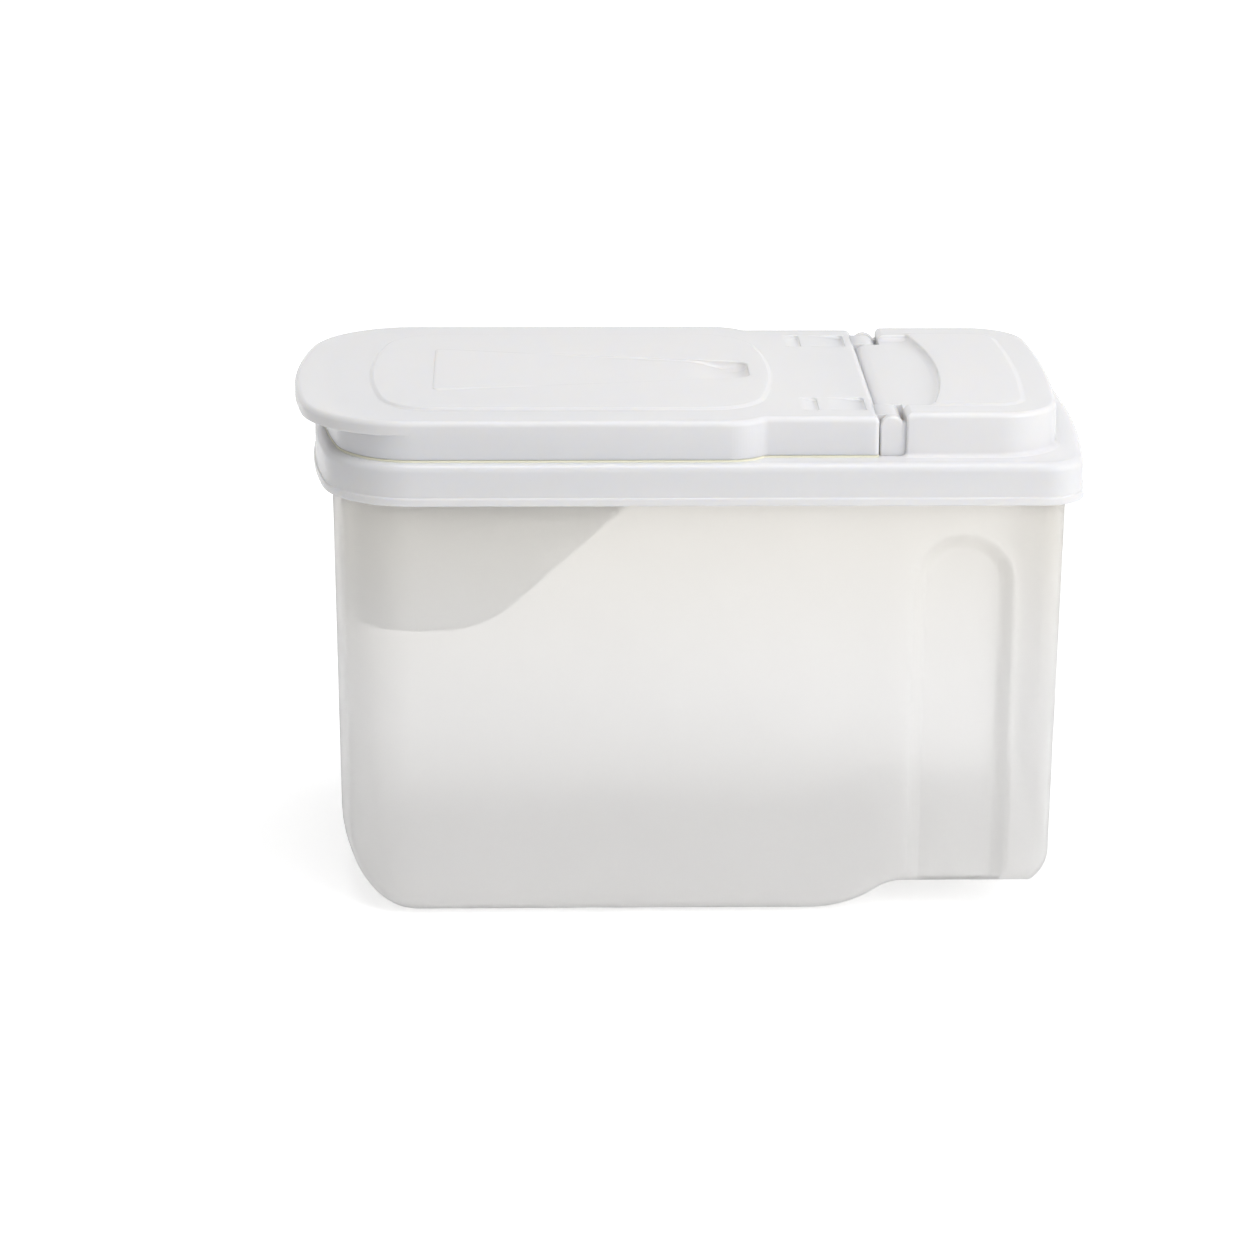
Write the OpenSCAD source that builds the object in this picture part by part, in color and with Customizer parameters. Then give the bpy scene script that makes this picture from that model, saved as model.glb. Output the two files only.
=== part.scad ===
// Rice bin with a flip lid: a milky tub, a base lid pressed onto its rim, a flip lid
// hinged beside a fixed platform, two soft seals and a scoop that hangs inside.
// X runs from the pouring end to the grip end, Y goes across and Z is up.
// The origin is on the floor, midway across the closed bin and 2 mm from midway along it.

/* [Container] */
// Outer length of the container, measured at its rim
bin_l = 310; // [275:1:345]
// Outer width of the container, measured at its rim
bin_w = 169; // [150:1:200]
// Height of the rim above the floor
bin_h = 195; // [175:1:240]
// Wall thickness
bin_wall = 2; // [1.6:0.1:2.6]
// Lean of the walls, in degrees from upright
draft = 0.7; // [0.2:0.1:1.2]
// Corner radius in plan at the pouring end
pour_corner_r = 32; // [20:1:44]
// Radius of the bowed pouring end in plan
pour_bow_r = 300; // [220:10:600]
// Corner radius in plan at the grip end
grip_corner_r = 10; // [7:0.5:20]
// Radius of the bowed grip end in plan
grip_bow_r = 640; // [400:10:900]
// Radius under the pouring end, seen from the side
pour_foot_r = 28; // [16:1:40]
// Radius under the grip end, seen from the side
grip_foot_r = 15; // [8:1:22]
// Radius under the long sides
side_foot_r = 12; // [6:1:18]
// How far the rim turns outwards
rim_out = 4; // [3:0.1:5]
// Thickness of the turned rim
rim_t = 2.2; // [1.6:0.1:3]

/* [Raised floor and grips] */
// Rise of the floor at the grip end
step_h = 12; // [6:0.5:16]
// Length of the raised floor
step_l = 68; // [54:1:84]
// Radius where the floor starts to rise
step_start_r = 50; // [30:1:60]
// Radius where the rise meets the raised floor
step_end_r = 20; // [14:1:26]
// Half the width of a grip recess in a long side
grip_r = 22; // [16:0.5:26]
// Depth of a grip recess
grip_depth = 6; // [3:0.5:8]
// Height of the centre of the recess's arched top
grip_z = 146; // [110:1:155]
// Distance from the grip end to the middle of the recess
grip_from_end = 46; // [38:1:54]

/* [Base lid] */
// Wall thickness of the base lid
lid_wall = 2.2; // [1.8:0.1:2.6]
// Clearance between the container's rim and the band around it
band_fit = 0.4; // [0.3:0.05:0.8]
// Height of the band around the rim
band_h = 17.5; // [12:0.5:22]
// How far the bead stands out at the band's lower edge
bead_out = 0.8; // [0.4:0.1:1.4]
// Height of the bead
bead_h = 3.4; // [2:0.2:5]
// Clearance between the container's wall and the plug wall inside it
plug_fit = 0.5; // [0.3:0.05:1]
// Thickness of the plug wall
plug_wall = 1.6; // [1.2:0.1:2.2]
// How far the plug wall reaches down
plug_h = 9; // [5:0.5:12]
// Height of the collar around the opening, above the ledge
collar_h = 6.8; // [5:0.2:8]
// Thickness of the collar
collar_wall = 2; // [1.6:0.1:2.4]
// Distance from the flip lid's skirt to the collar
collar_gap = 4.3; // [4.1:0.1:6]
// Extra distance at the hinge end, in which the skirt swings
swing_room = 3.4; // [3:0.1:6]

/* [Platform] */
// Height of the platform above the flip lid's top
platform_rise = 1.2; // [0.6:0.1:2]
// Height of the raised panel on the platform
panel_h = 0.6; // [0.3:0.1:1]
// Width of the border around the raised panel
panel_in = 12.5; // [8:0.5:16]
// Ledge left beside the platform's end
end_ledge = 11.3; // [8:0.1:14]
// How much narrower than the neck the platform is, on each side
platform_in = 1; // [0:0.1:3]
// Corner radius of the platform
platform_corner_r = 25; // [16:0.5:30]
// Fall from the flip lid's top to the dish
dish_drop = 1; // [0.8:0.1:2]
// Half the width of the dish
dish_half_w = 62; // [58:0.5:66]
// Distance from the hinge axis to the far side of the dish, on the centre line
dish_reach = 25; // [20:0.5:30]
// Radius of the dish's curved far side
dish_arc_r = 277; // [200:1:400]

/* [Flip lid] */
// Height of the flip lid, from its skirt's edge to its top
flip_h = 16.1; // [14:0.1:20]
// Thickness of its top
flip_top_t = 2.2; // [1.8:0.1:2.6]
// Thickness of its skirt
skirt_wall = 2; // [1.6:0.1:2.4]
// Reach of the finger lip past the band
lip_over = 8.4; // [5:0.1:14]
// Height of the finger lip's edge
lip_drop = 6; // [4:0.1:8]
// Distance from the lip's edge back to the skirt
lip_depth = 12; // [10.5:0.1:16]
// Ledge left beside the flip lid's long sides
side_ledge = 3.8; // [3:0.1:6]
// Corner radius of the plate at the lip
plate_corner_r = 46; // [40:1:54]
// Radius of the bowed lip in plan
plate_bow_r = 265; // [220:5:400]
// How much narrower the neck is, on each side
neck_in = 7.3; // [5:0.1:9]
// Distance from the hinge axis to the end of the plate's wide part
neck_l = 48; // [42:1:54]
// Corner radius of the plate at the neck
shoulder_r = 19; // [14:0.5:22]
// Rounding of the neck's end and of the platform's edge beside it
end_round = 2.5; // [2:0.1:3]

/* [Raised panel of the flip lid] */
// Height of the raised panel
raise_h = 1; // [0.5:0.1:1.5]
// Distance from the lip's edge to the panel
raise_from_lip = 30; // [24:1:40]
// Distance from the hinge axis to the panel
raise_from_axis = 45; // [40:1:52]
// Width of the border beside the panel
raise_in = 19; // [14:0.5:26]
// Corner radius of the panel
raise_corner_r = 25; // [14:0.5:30]
// Length of the wedge-shaped recess in the panel
wedge_l = 134; // [100:1:138]
// Distance from the panel's end to the recess
wedge_from_end = 10; // [8:0.5:14]
// Half the width of the recess at its shallow end
wedge_wide = 37; // [28:0.5:40]
// Half the width of the recess at its deep end
wedge_narrow = 14; // [10:0.5:20]
// Depth of the recess at its deep end
wedge_depth = 3.6; // [2:0.1:4.4]

/* [Neck dimples] */
// Distance from the neck's end to the long dimple of each side
dimple_from_end = 4.3; // [3:0.1:8]
// Length of the long dimple
dimple_long = 17; // [12:0.5:20]
// Length of the short dimple
dimple_short = 8; // [6:0.5:10]
// Gap between the two dimples
dimple_gap = 2.5; // [1.5:0.1:4]
// Width of the dimples
dimple_w = 22; // [16:0.5:24]
// Distance from the middle plane to a dimple's middle
dimple_y = 57; // [52:0.5:60]
// Depth of a dimple at its deep end
dimple_depth = 1.1; // [0.6:0.1:1.3]

/* [Hinge] */
// Distance from the grip end of the container to the hinge axis
hinge_from_end = 77; // [74:0.5:82]
// Depth of the hinge axis below the flip lid's top
hinge_drop = 5.5; // [5.3:0.1:5.8]
// Gap from the hinge axis to the neck's end
neck_gap = 5.5; // [5.4:0.1:6]
// Gap from the hinge axis to the platform
platform_gap = 5.6; // [5.5:0.1:6.2]
// Radius of the flip lid's knuckles
knuckle_r = 4.7; // [4.2:0.1:4.8]
// Length of a knuckle
knuckle_l = 16.7; // [13:0.1:18]
// Half the width of the nose that carries the hinge pins
nose_half_w = 54.5; // [50:0.5:55]
// Radius of a hinge pin
pin_r = 2.4; // [2:0.1:2.7]
// Length of a hinge pin
pin_l = 11.5; // [8:0.5:12.5]
// Radial clearance of a pin in its bore
pin_fit = 0.08; // [0.05:0.01:0.1]
// Clearance between the nose and a knuckle's face
face_fit = 0.4; // [0.3:0.05:0.5]

/* [Seals] */
// Thickness of the seal on the container's rim
rim_seal_t = 2.2; // [1.4:0.1:3]
// Thickness of the seal under the flip lid's skirt
flip_seal_t = 0.8; // [0.6:0.1:1.2]
// Width of the seal under the flip lid's skirt
flip_seal_w = 4.4; // [3:0.1:5]
// Gap left at a seal's pressed face
seal_gap = 0.1; // [0.05:0.05:0.2]

/* [Scoop] */
// Length of the scoop along its top
scoop_l = 130; // [110:1:134]
// Width of the scoop
scoop_w = 46; // [36:1:60]
// Depth of the scoop
scoop_depth = 63; // [50:1:70]
// Wall thickness of the scoop
scoop_wall = 1.8; // [1.4:0.1:2.2]
// Slope of the scooping wall, in degrees from level
scoop_slope = 42; // [38:1:50]
// Radius between the scoop's floor and its scooping wall
scoop_curve_r = 48; // [30:1:54]
// Radius of the scoop's other edges
scoop_corner_r = 8; // [5:0.5:10]
// Distance from the lid's underside down to the scoop's top
scoop_drop = 10.3; // [9.7:0.1:16]
// Gap between the scoop and the plug wall beside it
scoop_side_gap = 1.2; // [0.8:0.1:3]
// Width of the hook that hangs over the collar
hook_w = 40; // [24:1:44]
// Thickness of the hook
hook_t = 2; // [1.6:0.1:2.1]
// Distance from the scoop's closed end to the middle of the hook
hook_from_end = 52; // [48:1:56]
// Clearance between the hook and the collar
hook_fit = 0.3; // [0.25:0.05:0.4]
// How far the hook reaches down outside the collar
hook_reach = 4; // [3:0.1:4.4]

/* [Hidden] */
$fn = 96;
fine = 720;
dome_fn = 160;
arc_n = 10;
eps = 0.01;
// How far a bow stays inside the corner arcs, so that they cross at a clear point
meet = 0.02;
past = 1;
milky = [0.90, 0.90, 0.87];
white = [0.93, 0.93, 0.94];
soft = [0.86, 0.85, 0.72];
grey = [0.78, 0.79, 0.81];

// Along X
band_out = rim_out + band_fit + lid_wall;
// The origin lies 2 mm from the middle of the closed bin, towards the pouring end
shift = (lip_over - bead_out) / 2 + 2;
bin_x0 = shift - bin_l / 2;
bin_x1 = shift + bin_l / 2;
lip_x = bin_x0 - band_out - lip_over;
hinge_x = bin_x1 - hinge_from_end;
neck_x = hinge_x - neck_gap;
platform_x = hinge_x + platform_gap;
step_x = bin_x1 - step_l;

// Across
plate_hw = bin_w / 2 + band_out - side_ledge;
neck_hw = plate_hw - neck_in;
knuckle_y0 = nose_half_w + face_fit;

// Upwards
lid_under = bin_h + seal_gap + rim_seal_t;
ledge_z = lid_under + lid_wall;
band_z = ledge_z - band_h;
collar_z = ledge_z + collar_h;
skirt_z = ledge_z + flip_seal_t + seal_gap;
top_z = skirt_z + flip_h;
hinge_z = top_z - hinge_drop;
platform_z = top_z + platform_rise;
dish_z = top_z - dish_drop;
nose_r = dish_z - hinge_z;
raise_z = top_z + raise_h;

// The scoop's place, from the plug wall around it
scoop_in = bin_wall + plug_fit + plug_wall + scoop_side_gap;
scoop_x = bin_x0 + scoop_in;
scoop_y = -bin_w / 2 + scoop_in;
scoop_z = lid_under - scoop_drop;

// A plan outline: both ends, half the width, then corner and bow radius of each end
bin_plan = [bin_x0, bin_x1, bin_w / 2, pour_corner_r, pour_bow_r, grip_corner_r, grip_bow_r];
flat_r = 4000;
plate_plan = [lip_x, hinge_x - neck_l, plate_hw, plate_corner_r, plate_bow_r, shoulder_r, flat_r];
skirt_corner_r = plate_corner_r - lip_depth;
skirt_bow_r = plate_bow_r - lip_depth;
skirt_plan = [lip_x + lip_depth, hinge_x - neck_l, plate_hw, skirt_corner_r, skirt_bow_r,
    shoulder_r, flat_r];
platform_plan = [bin_x0, bin_x1 + band_out - end_ledge, neck_hw - platform_in, platform_corner_r,
    grip_bow_r, platform_corner_r, grip_bow_r];
raise_plan = [lip_x + raise_from_lip, hinge_x - raise_from_axis, plate_hw - raise_in, raise_corner_r,
    plate_bow_r - raise_from_lip, raise_corner_r, plate_bow_r - raise_from_lip];

function inset(p, d) = [p[0] + d, p[1] - d, p[2] - d, p[3] - d, p[4] - d, p[5] - d, p[6] - d];

// One half of an outline, from x = 0 to its bowed end at x = reach
module half_plan(reach, half_w, corner_r, bow_r) {
    cy = half_w - corner_r;
    bow_x = reach - bow_r;
    cx = bow_x + sqrt(pow(bow_r - corner_r, 2) - cy * cy);
    out = [cx - bow_x, cy] / (bow_r - corner_r);
    far = corner_r + reach - cx + past;
    translate([0, -half_w]) square([cx, 2 * half_w]);
    for (s = [-1, 1])
        intersection() {
            translate([cx, s * cy]) circle(corner_r);
            translate([cx, s * cy - far]) square([far, 2 * far]);
        }
    intersection() {
        translate([bow_x, 0]) circle(bow_r - meet, $fn = fine);
        polygon([
            [cx, -cy],
            [cx + far * out[0], -cy - far * out[1]],
            [cx + far * out[0], cy + far * out[1]],
            [cx, cy]
        ]);
    }
}

module plan(p) {
    half_l = (p[1] - p[0]) / 2;
    translate([(p[0] + p[1]) / 2, 0]) {
        half_plan(half_l, p[2], p[5], p[6]);
        mirror([1, 0]) half_plan(half_l, p[2], p[3], p[4]);
    }
}

// A prism on an outline, from one height to another
module prism(z0, z1) {
    translate([0, 0, z0]) linear_extrude(z1 - z0) children();
}

// A profile drawn in X and Z, carried across the bin
module across(w) {
    rotate([90, 0, 0]) linear_extrude(w, center = true) children();
}

// Where a leaning wall's foot arc is centred, from the wall's place at the rim
function foot_in(r, z) = (r + (bin_h - z) * sin(draft)) / cos(draft);

// Points along an arc about c, from one direction to another in degrees
function arc(c, r, a0, a1) = [
    for (i = [0:arc_n])
        let (a = a0 + (a1 - a0) * i / arc_n)
            c + r * [cos(a), sin(a)]
];

// Side view of the tub, drawn in by t, up to the height top
module side_view(t, top) {
    a = acos(1 - step_h / (step_start_r + step_end_r));
    rise_x = step_x - (step_start_r + step_end_r) * sin(a);
    pour_c = [bin_x0 + foot_in(pour_foot_r, pour_foot_r), pour_foot_r];
    grip_z0 = step_h + grip_foot_r;
    grip_c = [bin_x1 - foot_in(grip_foot_r, grip_z0), grip_z0];
    lean = (top - bin_h) * tan(draft) - t / cos(draft);
    polygon(concat(
        [[bin_x0 - lean, top]],
        arc(pour_c, pour_foot_r - t, 180 + draft, 270),
        arc([rise_x, step_start_r], step_start_r - t, -90, a - 90),
        arc([step_x, step_h - step_end_r], step_end_r + t, 90 + a, 90),
        arc(grip_c, grip_foot_r - t, -90, -draft),
        [[bin_x1 + lean, top]]
    ));
}

// End view of the tub, drawn in by t, up to the height top
module end_view(t, top) {
    c = [bin_w / 2 - foot_in(side_foot_r, side_foot_r), side_foot_r];
    half_top = bin_w / 2 + (top - bin_h) * tan(draft) - t / cos(draft);
    polygon(concat(
        [[-half_top, top]],
        arc([-c[0], c[1]], side_foot_r - t, 180 + draft, 270),
        arc(c, side_foot_r - t, -90, -draft),
        [[half_top, top]]
    ));
}

// The tub's body: its plan, side view and end view together
module tub(t, top) {
    intersection() {
        prism(-past, top) plan(inset(bin_plan, t / cos(draft)));
        across(bin_w * 2) side_view(t, top);
        translate([shift, 0, 0])
            rotate([90, 0, 90]) linear_extrude(bin_l * 2, center = true) end_view(t, top);
    }
}

// Both grip recesses, grown by t
module grips(t) {
    bulge_r = (grip_r * grip_r + grip_depth * grip_depth) / (2 * grip_depth);
    axis_y = bin_w / 2 - (bin_h - grip_z) * tan(draft) + bulge_r - grip_depth;
    for (s = [-1, 1])
        translate([bin_x1 - grip_from_end, s * axis_y, grip_z]) {
            sphere(bulge_r + t, $fn = dome_fn);
            rotate([s * -draft, 0, 0])
                translate([0, 0, -grip_z - past]) cylinder(grip_z + past, r = bulge_r + t);
        }
}

module container() {
    color(milky)
    difference() {
        union() {
            tub(0, bin_h);
            prism(bin_h - rim_t, bin_h) plan(inset(bin_plan, -rim_out));
        }
        grips(0);
        difference() {
            tub(bin_wall, bin_h + past);
            grips(bin_wall);
        }
    }
}

module rim_seal() {
    color(soft)
    difference() {
        prism(bin_h + seal_gap, lid_under) plan(inset(bin_plan, -rim_out));
        prism(bin_h, lid_under + past) plan(inset(bin_plan, bin_wall));
    }
}

// Outline of the flip lid's skirt, drawn in by d, and by d_end at the hinge end
module skirt_outline(d, d_end) {
    plan(inset(skirt_plan, d));
    translate([0, -neck_hw + d]) square([neck_x - d_end, 2 * (neck_hw - d)]);
}

module collar_outline(d) {
    gap = skirt_wall + collar_gap + d;
    skirt_outline(gap, gap + swing_room);
}

// The platform, with the dish in its hinge side, drawn in by t
module platform(t) {
    difference() {
        intersection() {
            prism(ledge_z - eps - t, platform_z - t) plan(inset(platform_plan, t));
            across(bin_w) platform_side(t);
        }
        prism(dish_z - t, platform_z + past) dish_outline(t);
    }
}

// Side view of the platform, with the rounded edge beside the hinge
module platform_side(t) {
    r = end_round;
    x = platform_x + t;
    z = platform_z - t;
    translate([x + r, 0]) square([bin_l, z]);
    translate([x, 0]) square([2 * r, z - r]);
    translate([x + r, z - r]) circle(r);
}

module dish_outline(t) {
    intersection() {
        translate([hinge_x + dish_reach - dish_arc_r, 0]) circle(dish_arc_r + t, $fn = fine);
        translate([hinge_x - past, -dish_half_w - t]) square([bin_l, 2 * (dish_half_w + t)]);
    }
}

// The nose between the knuckles, drawn in by t
module nose(t) {
    r = nose_r - t;
    across(2 * (nose_half_w - t)) {
        translate([hinge_x, hinge_z]) circle(r);
        translate([hinge_x - r, ledge_z - eps - t])
            square([r + platform_gap + lid_wall, hinge_z - ledge_z + eps + t]);
        translate([hinge_x, hinge_z - eps]) square([platform_gap + lid_wall + t, r + eps]);
    }
}

// The panel raised on the platform, up to the dish's curved side
module platform_panel() {
    difference() {
        prism(platform_z - eps, platform_z + panel_h) plan(inset(platform_plan, panel_in));
        prism(dish_z, platform_z + panel_h + past)
            translate([hinge_x + dish_reach - dish_arc_r, 0]) circle(dish_arc_r, $fn = fine);
    }
}

module hinge_pins(r, l) {
    for (s = [-1, 1])
        translate([hinge_x, s * (nose_half_w - lid_wall), hinge_z])
            rotate([-90 * s, 0, 0]) cylinder(l + lid_wall, r = r);
}

module base_lid() {
    plug = bin_wall + plug_fit;
    color(white) {
        difference() {
            union() {
                prism(band_z, ledge_z) plan(inset(bin_plan, -band_out));
                prism(band_z, band_z + bead_h) plan(inset(bin_plan, -band_out - bead_out));
                prism(lid_under, collar_z) collar_outline(0);
                platform(0);
                nose(0);
            }
            prism(band_z - past, lid_under) plan(inset(bin_plan, -rim_out - band_fit));
            prism(lid_under - past, collar_z + past) collar_outline(collar_wall);
            intersection() {
                union() {
                    platform(lid_wall);
                    nose(lid_wall);
                }
                prism(lid_under - past, platform_z) plan(inset(bin_plan, plug + plug_wall));
            }
        }
        difference() {
            prism(lid_under - plug_h, lid_under + eps) plan(inset(bin_plan, plug));
            prism(lid_under - plug_h - past, lid_under + past) plan(inset(bin_plan, plug + plug_wall));
        }
        platform_panel();
        hinge_pins(pin_r, pin_l);
    }
}

module flip_lid_seal() {
    color(soft)
    difference() {
        prism(ledge_z, ledge_z + flip_seal_t) skirt_outline(0, 0);
        prism(ledge_z - past, ledge_z + flip_seal_t + past) skirt_outline(flip_seal_w, flip_seal_w);
    }
}

// Side view of the flip lid's neck, with its rounded end
module neck_side() {
    r = end_round;
    translate([0, skirt_z]) square([neck_x - r, top_z - skirt_z]);
    translate([0, skirt_z]) square([neck_x, top_z - r - skirt_z]);
    translate([neck_x - r, top_z - r]) circle(r);
}

// The wedge-shaped recess, grown by t below and around
module wedge(t) {
    x0 = raise_plan[1] - wedge_from_end - wedge_l;
    translate([x0, 0, raise_z]) rotate([0, atan(wedge_depth / wedge_l), 0]) translate([0, 0, -t])
        linear_extrude(flip_h) polygon([
            [-t, -wedge_wide - t],
            [wedge_l + t, -wedge_narrow - t],
            [wedge_l + t, wedge_narrow + t],
            [-t, wedge_wide + t]
        ]);
}

// A dimple of length l whose deep end is at x, sloping like the large recess
module dimple(x, l) {
    for (s = [-1, 1])
        translate([x - l, s * dimple_y, top_z]) rotate([0, asin(dimple_depth / l), 0])
            translate([0, -dimple_w / 2, 0]) cube([l, dimple_w, flip_h]);
}

module dimples() {
    x = neck_x - dimple_from_end;
    dimple(x, dimple_long);
    dimple(x - dimple_long - dimple_gap, dimple_short);
}

module knuckles() {
    arm = neck_gap + skirt_wall;
    for (s = [-1, 1])
        translate([hinge_x, s * (knuckle_y0 + knuckle_l / 2), hinge_z]) {
            rotate([90, 0, 0]) cylinder(knuckle_l, r = knuckle_r, center = true);
            translate([-arm, -knuckle_l / 2, -pin_r]) cube([arm, knuckle_l, knuckle_r + pin_r]);
        }
}

module flip_lid() {
    mid_z = top_z - flip_top_t / 2;
    color(white)
    difference() {
        union() {
            difference() {
                union() {
                    prism(top_z - lip_drop, top_z) plan(plate_plan);
                    prism(skirt_z, mid_z) plan(skirt_plan);
                    across(2 * neck_hw) neck_side();
                    prism(mid_z, raise_z) plan(raise_plan);
                }
                prism(skirt_z - past, top_z - flip_top_t) skirt_outline(skirt_wall, skirt_wall);
                difference() {
                    prism(top_z - lip_drop - past, top_z - flip_top_t) plan(inset(plate_plan, skirt_wall));
                    prism(skirt_z, top_z) skirt_outline(0, 0);
                }
            }
            intersection() {
                wedge(flip_top_t);
                prism(skirt_z, mid_z) square([hinge_x - lip_x, 2 * neck_hw], center = true);
            }
            knuckles();
        }
        wedge(0);
        dimples();
        hinge_pins(pin_r + pin_fit, pin_l + face_fit + past);
    }
}

// Side view of the scoop, drawn in by t, up to the height top
module scoop_side(t, top) {
    z0 = scoop_z - scoop_depth;
    a = scoop_slope;
    run = scoop_l - scoop_depth / tan(a) - scoop_curve_r * tan(a / 2);
    tip = scoop_x + scoop_l + (top - scoop_z) / tan(a) - t / sin(a);
    polygon(concat(
        [[scoop_x - past, top]],
        [[scoop_x - past, z0 + scoop_corner_r]],
        arc([scoop_x + scoop_corner_r, z0 + scoop_corner_r], scoop_corner_r - t, 180, 270),
        arc([scoop_x + run, z0 + scoop_curve_r], scoop_curve_r - t, -90, a - 90),
        [[tip, top]]
    ));
}

// Plan of the scoop: it follows the tub's corner on two sides
module scoop_plan(t) {
    r = scoop_corner_r - t;
    x1 = scoop_x + scoop_l - t;
    y1 = scoop_y + scoop_w - t;
    intersection() {
        plan(inset(bin_plan, scoop_in + t));
        union() {
            translate([scoop_x - past, scoop_y - past])
                square([x1 - scoop_x + past, y1 - r - scoop_y + past]);
            translate([scoop_x - past, scoop_y]) square([x1 - r - scoop_x + past, y1 - scoop_y]);
            translate([x1 - r, y1 - r]) circle(r);
        }
    }
}

module scoop_body(t, top) {
    intersection() {
        translate([0, scoop_y + scoop_w / 2, 0]) across(2 * scoop_w) scoop_side(t, top);
        prism(0, top + past) scoop_plan(t);
    }
}

// The hook: up inside the collar, over it and down outside
module scoop_hook() {
    over_z = collar_z + hook_fit;
    out_y = -plate_hw + skirt_wall + collar_gap - hook_fit;
    in_y = out_y + collar_wall + 2 * hook_fit;
    root_z = scoop_z - 2 * hook_t;
    translate([scoop_x + hook_from_end - hook_w / 2, 0, 0]) {
        translate([0, in_y, root_z]) cube([hook_w, hook_t, over_z + hook_t - root_z]);
        translate([0, out_y - hook_t, over_z]) cube([hook_w, in_y - out_y + 2 * hook_t, hook_t]);
        translate([0, out_y - hook_t, over_z - hook_reach]) cube([hook_w, hook_t, hook_reach + hook_t]);
        translate([0, scoop_y, root_z]) cube([hook_w, in_y + hook_t - scoop_y, 2 * hook_t]);
    }
}

module measuring_scoop() {
    color(grey) {
        difference() {
            scoop_body(0, scoop_z);
            scoop_body(scoop_wall, scoop_z + past);
        }
        scoop_hook();
    }
}

container();
rim_seal();
base_lid();
flip_lid_seal();
flip_lid();
measuring_scoop();
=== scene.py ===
import math

import bmesh
import bpy
import numpy as np
from mathutils import Matrix, Vector, geometry


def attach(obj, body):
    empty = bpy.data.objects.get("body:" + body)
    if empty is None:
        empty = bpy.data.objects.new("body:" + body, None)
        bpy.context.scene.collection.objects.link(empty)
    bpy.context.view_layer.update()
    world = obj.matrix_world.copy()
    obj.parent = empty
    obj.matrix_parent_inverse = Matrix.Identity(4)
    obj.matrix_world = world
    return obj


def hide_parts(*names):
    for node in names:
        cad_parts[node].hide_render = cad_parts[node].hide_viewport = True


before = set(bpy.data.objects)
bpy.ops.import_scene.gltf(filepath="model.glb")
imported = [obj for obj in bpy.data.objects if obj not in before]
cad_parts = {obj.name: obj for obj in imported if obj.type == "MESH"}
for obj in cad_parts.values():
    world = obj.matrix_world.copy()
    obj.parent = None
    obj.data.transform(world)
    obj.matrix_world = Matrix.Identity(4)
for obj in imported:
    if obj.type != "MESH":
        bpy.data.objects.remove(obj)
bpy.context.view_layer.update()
print("frame loaded")

mm = 0.001
snap = 0.003  # points this close are one point, in mm
arcTurn = 7.5  # the widest turn between two points of an arc, in degrees


# Points of an arc between two angles, in degrees
def arcRow(cx, cy, r, a0, a1, count):
    a = np.radians(np.linspace(a0, a1, count))
    return np.column_stack([cx + r * np.cos(a), cy + r * np.sin(a)])


class Outline:
    # A closed smooth path, counter-clockwise: arcs, with straight lines between their ends.
    # An arc is (centre x, centre y, radius, start, end) in degrees. A falling angle makes a hollow arc.
    def __init__(self, arcs, arcStep=1.3, lineStep=5.0, fine=()):
        self.arcs = arcs
        self.lines = []
        points = []
        normals = []
        for i, arc in enumerate(arcs):
            p, n = self.arcPoints(arc, arcStep)
            if points and np.hypot(*(np.array(points[-1]) - p[0])) < 1e-6:
                p, n = p[1:], n[1:]
            points.extend(p)
            normals.extend(n)
            following = self.arcPoints(arcs[(i + 1) % len(arcs)], arcStep)[0][0]
            start = np.array(points[-1])
            if np.hypot(*(following - start)) > 1e-6:
                self.lines.append((start, following))
                p, n = self.linePoints(start, following, lineStep, fine)
                points.extend(p)
                normals.extend(n)
        if np.hypot(*(np.array(points[0]) - points[-1])) < 1e-6:
            points.pop()
            normals.pop()
        self.points = np.array(points)
        self.normals = np.array(normals)

    # Points and outward normals along one arc
    def arcPoints(self, arc, step):
        cx, cy, r, a0, a1 = arc
        turn = abs(a1 - a0)
        count = max(2, math.ceil(turn / arcTurn), math.ceil(math.radians(turn) * r / step))
        n = arcRow(0, 0, 1, a0, a1, count + 1)
        return np.array([cx, cy]) + r * n, n * (1 if a1 > a0 else -1)

    # Points between the ends of a line, with one at each x in fine
    def linePoints(self, start, end, step, fine):
        gap = end - start
        length = np.hypot(*gap)
        t = set(np.round(np.linspace(0, 1, math.ceil(length / step) + 1)[1:-1], 9))
        for x in fine:
            if abs(gap[0]) > 1e-6 and 0.001 < (x - start[0]) / gap[0] < 0.999:
                t.add(float((x - start[0]) / gap[0]))
        t = sorted(t)
        n = np.array([gap[1], -gap[0]]) / length
        return [start + gap * k for k in t], [n for k in t]

    # The path drawn in by some distance, as points
    def ring(self, inset=0.0):
        return self.points - np.reshape(inset, (-1, 1)) * self.normals

    # Distance from the path, positive outside it
    def away(self, x, y):
        best = np.full(np.shape(x), 1e9)
        for cx, cy, r, a0, a1 in self.arcs:
            far = np.hypot(x - cx, y - cy)
            turned = np.degrees(np.arctan2(y - cy, x - cx))
            turned = np.mod(turned - a0, 360) if a1 > a0 else np.mod(a0 - turned, 360)
            inside = (turned <= abs(a1 - a0) + 1e-5) | (turned >= 360 - 1e-5)
            s = (far - r) * (1 if a1 > a0 else -1)
            best = np.where(inside & (np.abs(s) < np.abs(best)), s, best)
        for start, end in self.lines:
            gap = end - start
            length = np.hypot(*gap)
            t = ((x - start[0]) * gap[0] + (y - start[1]) * gap[1]) / length ** 2
            s = ((x - start[0]) * gap[1] - (y - start[1]) * gap[0]) / length
            best = np.where((t >= -1e-7) & (t <= 1 + 1e-7) & (np.abs(s) < np.abs(best)), s, best)
        return best


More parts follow.
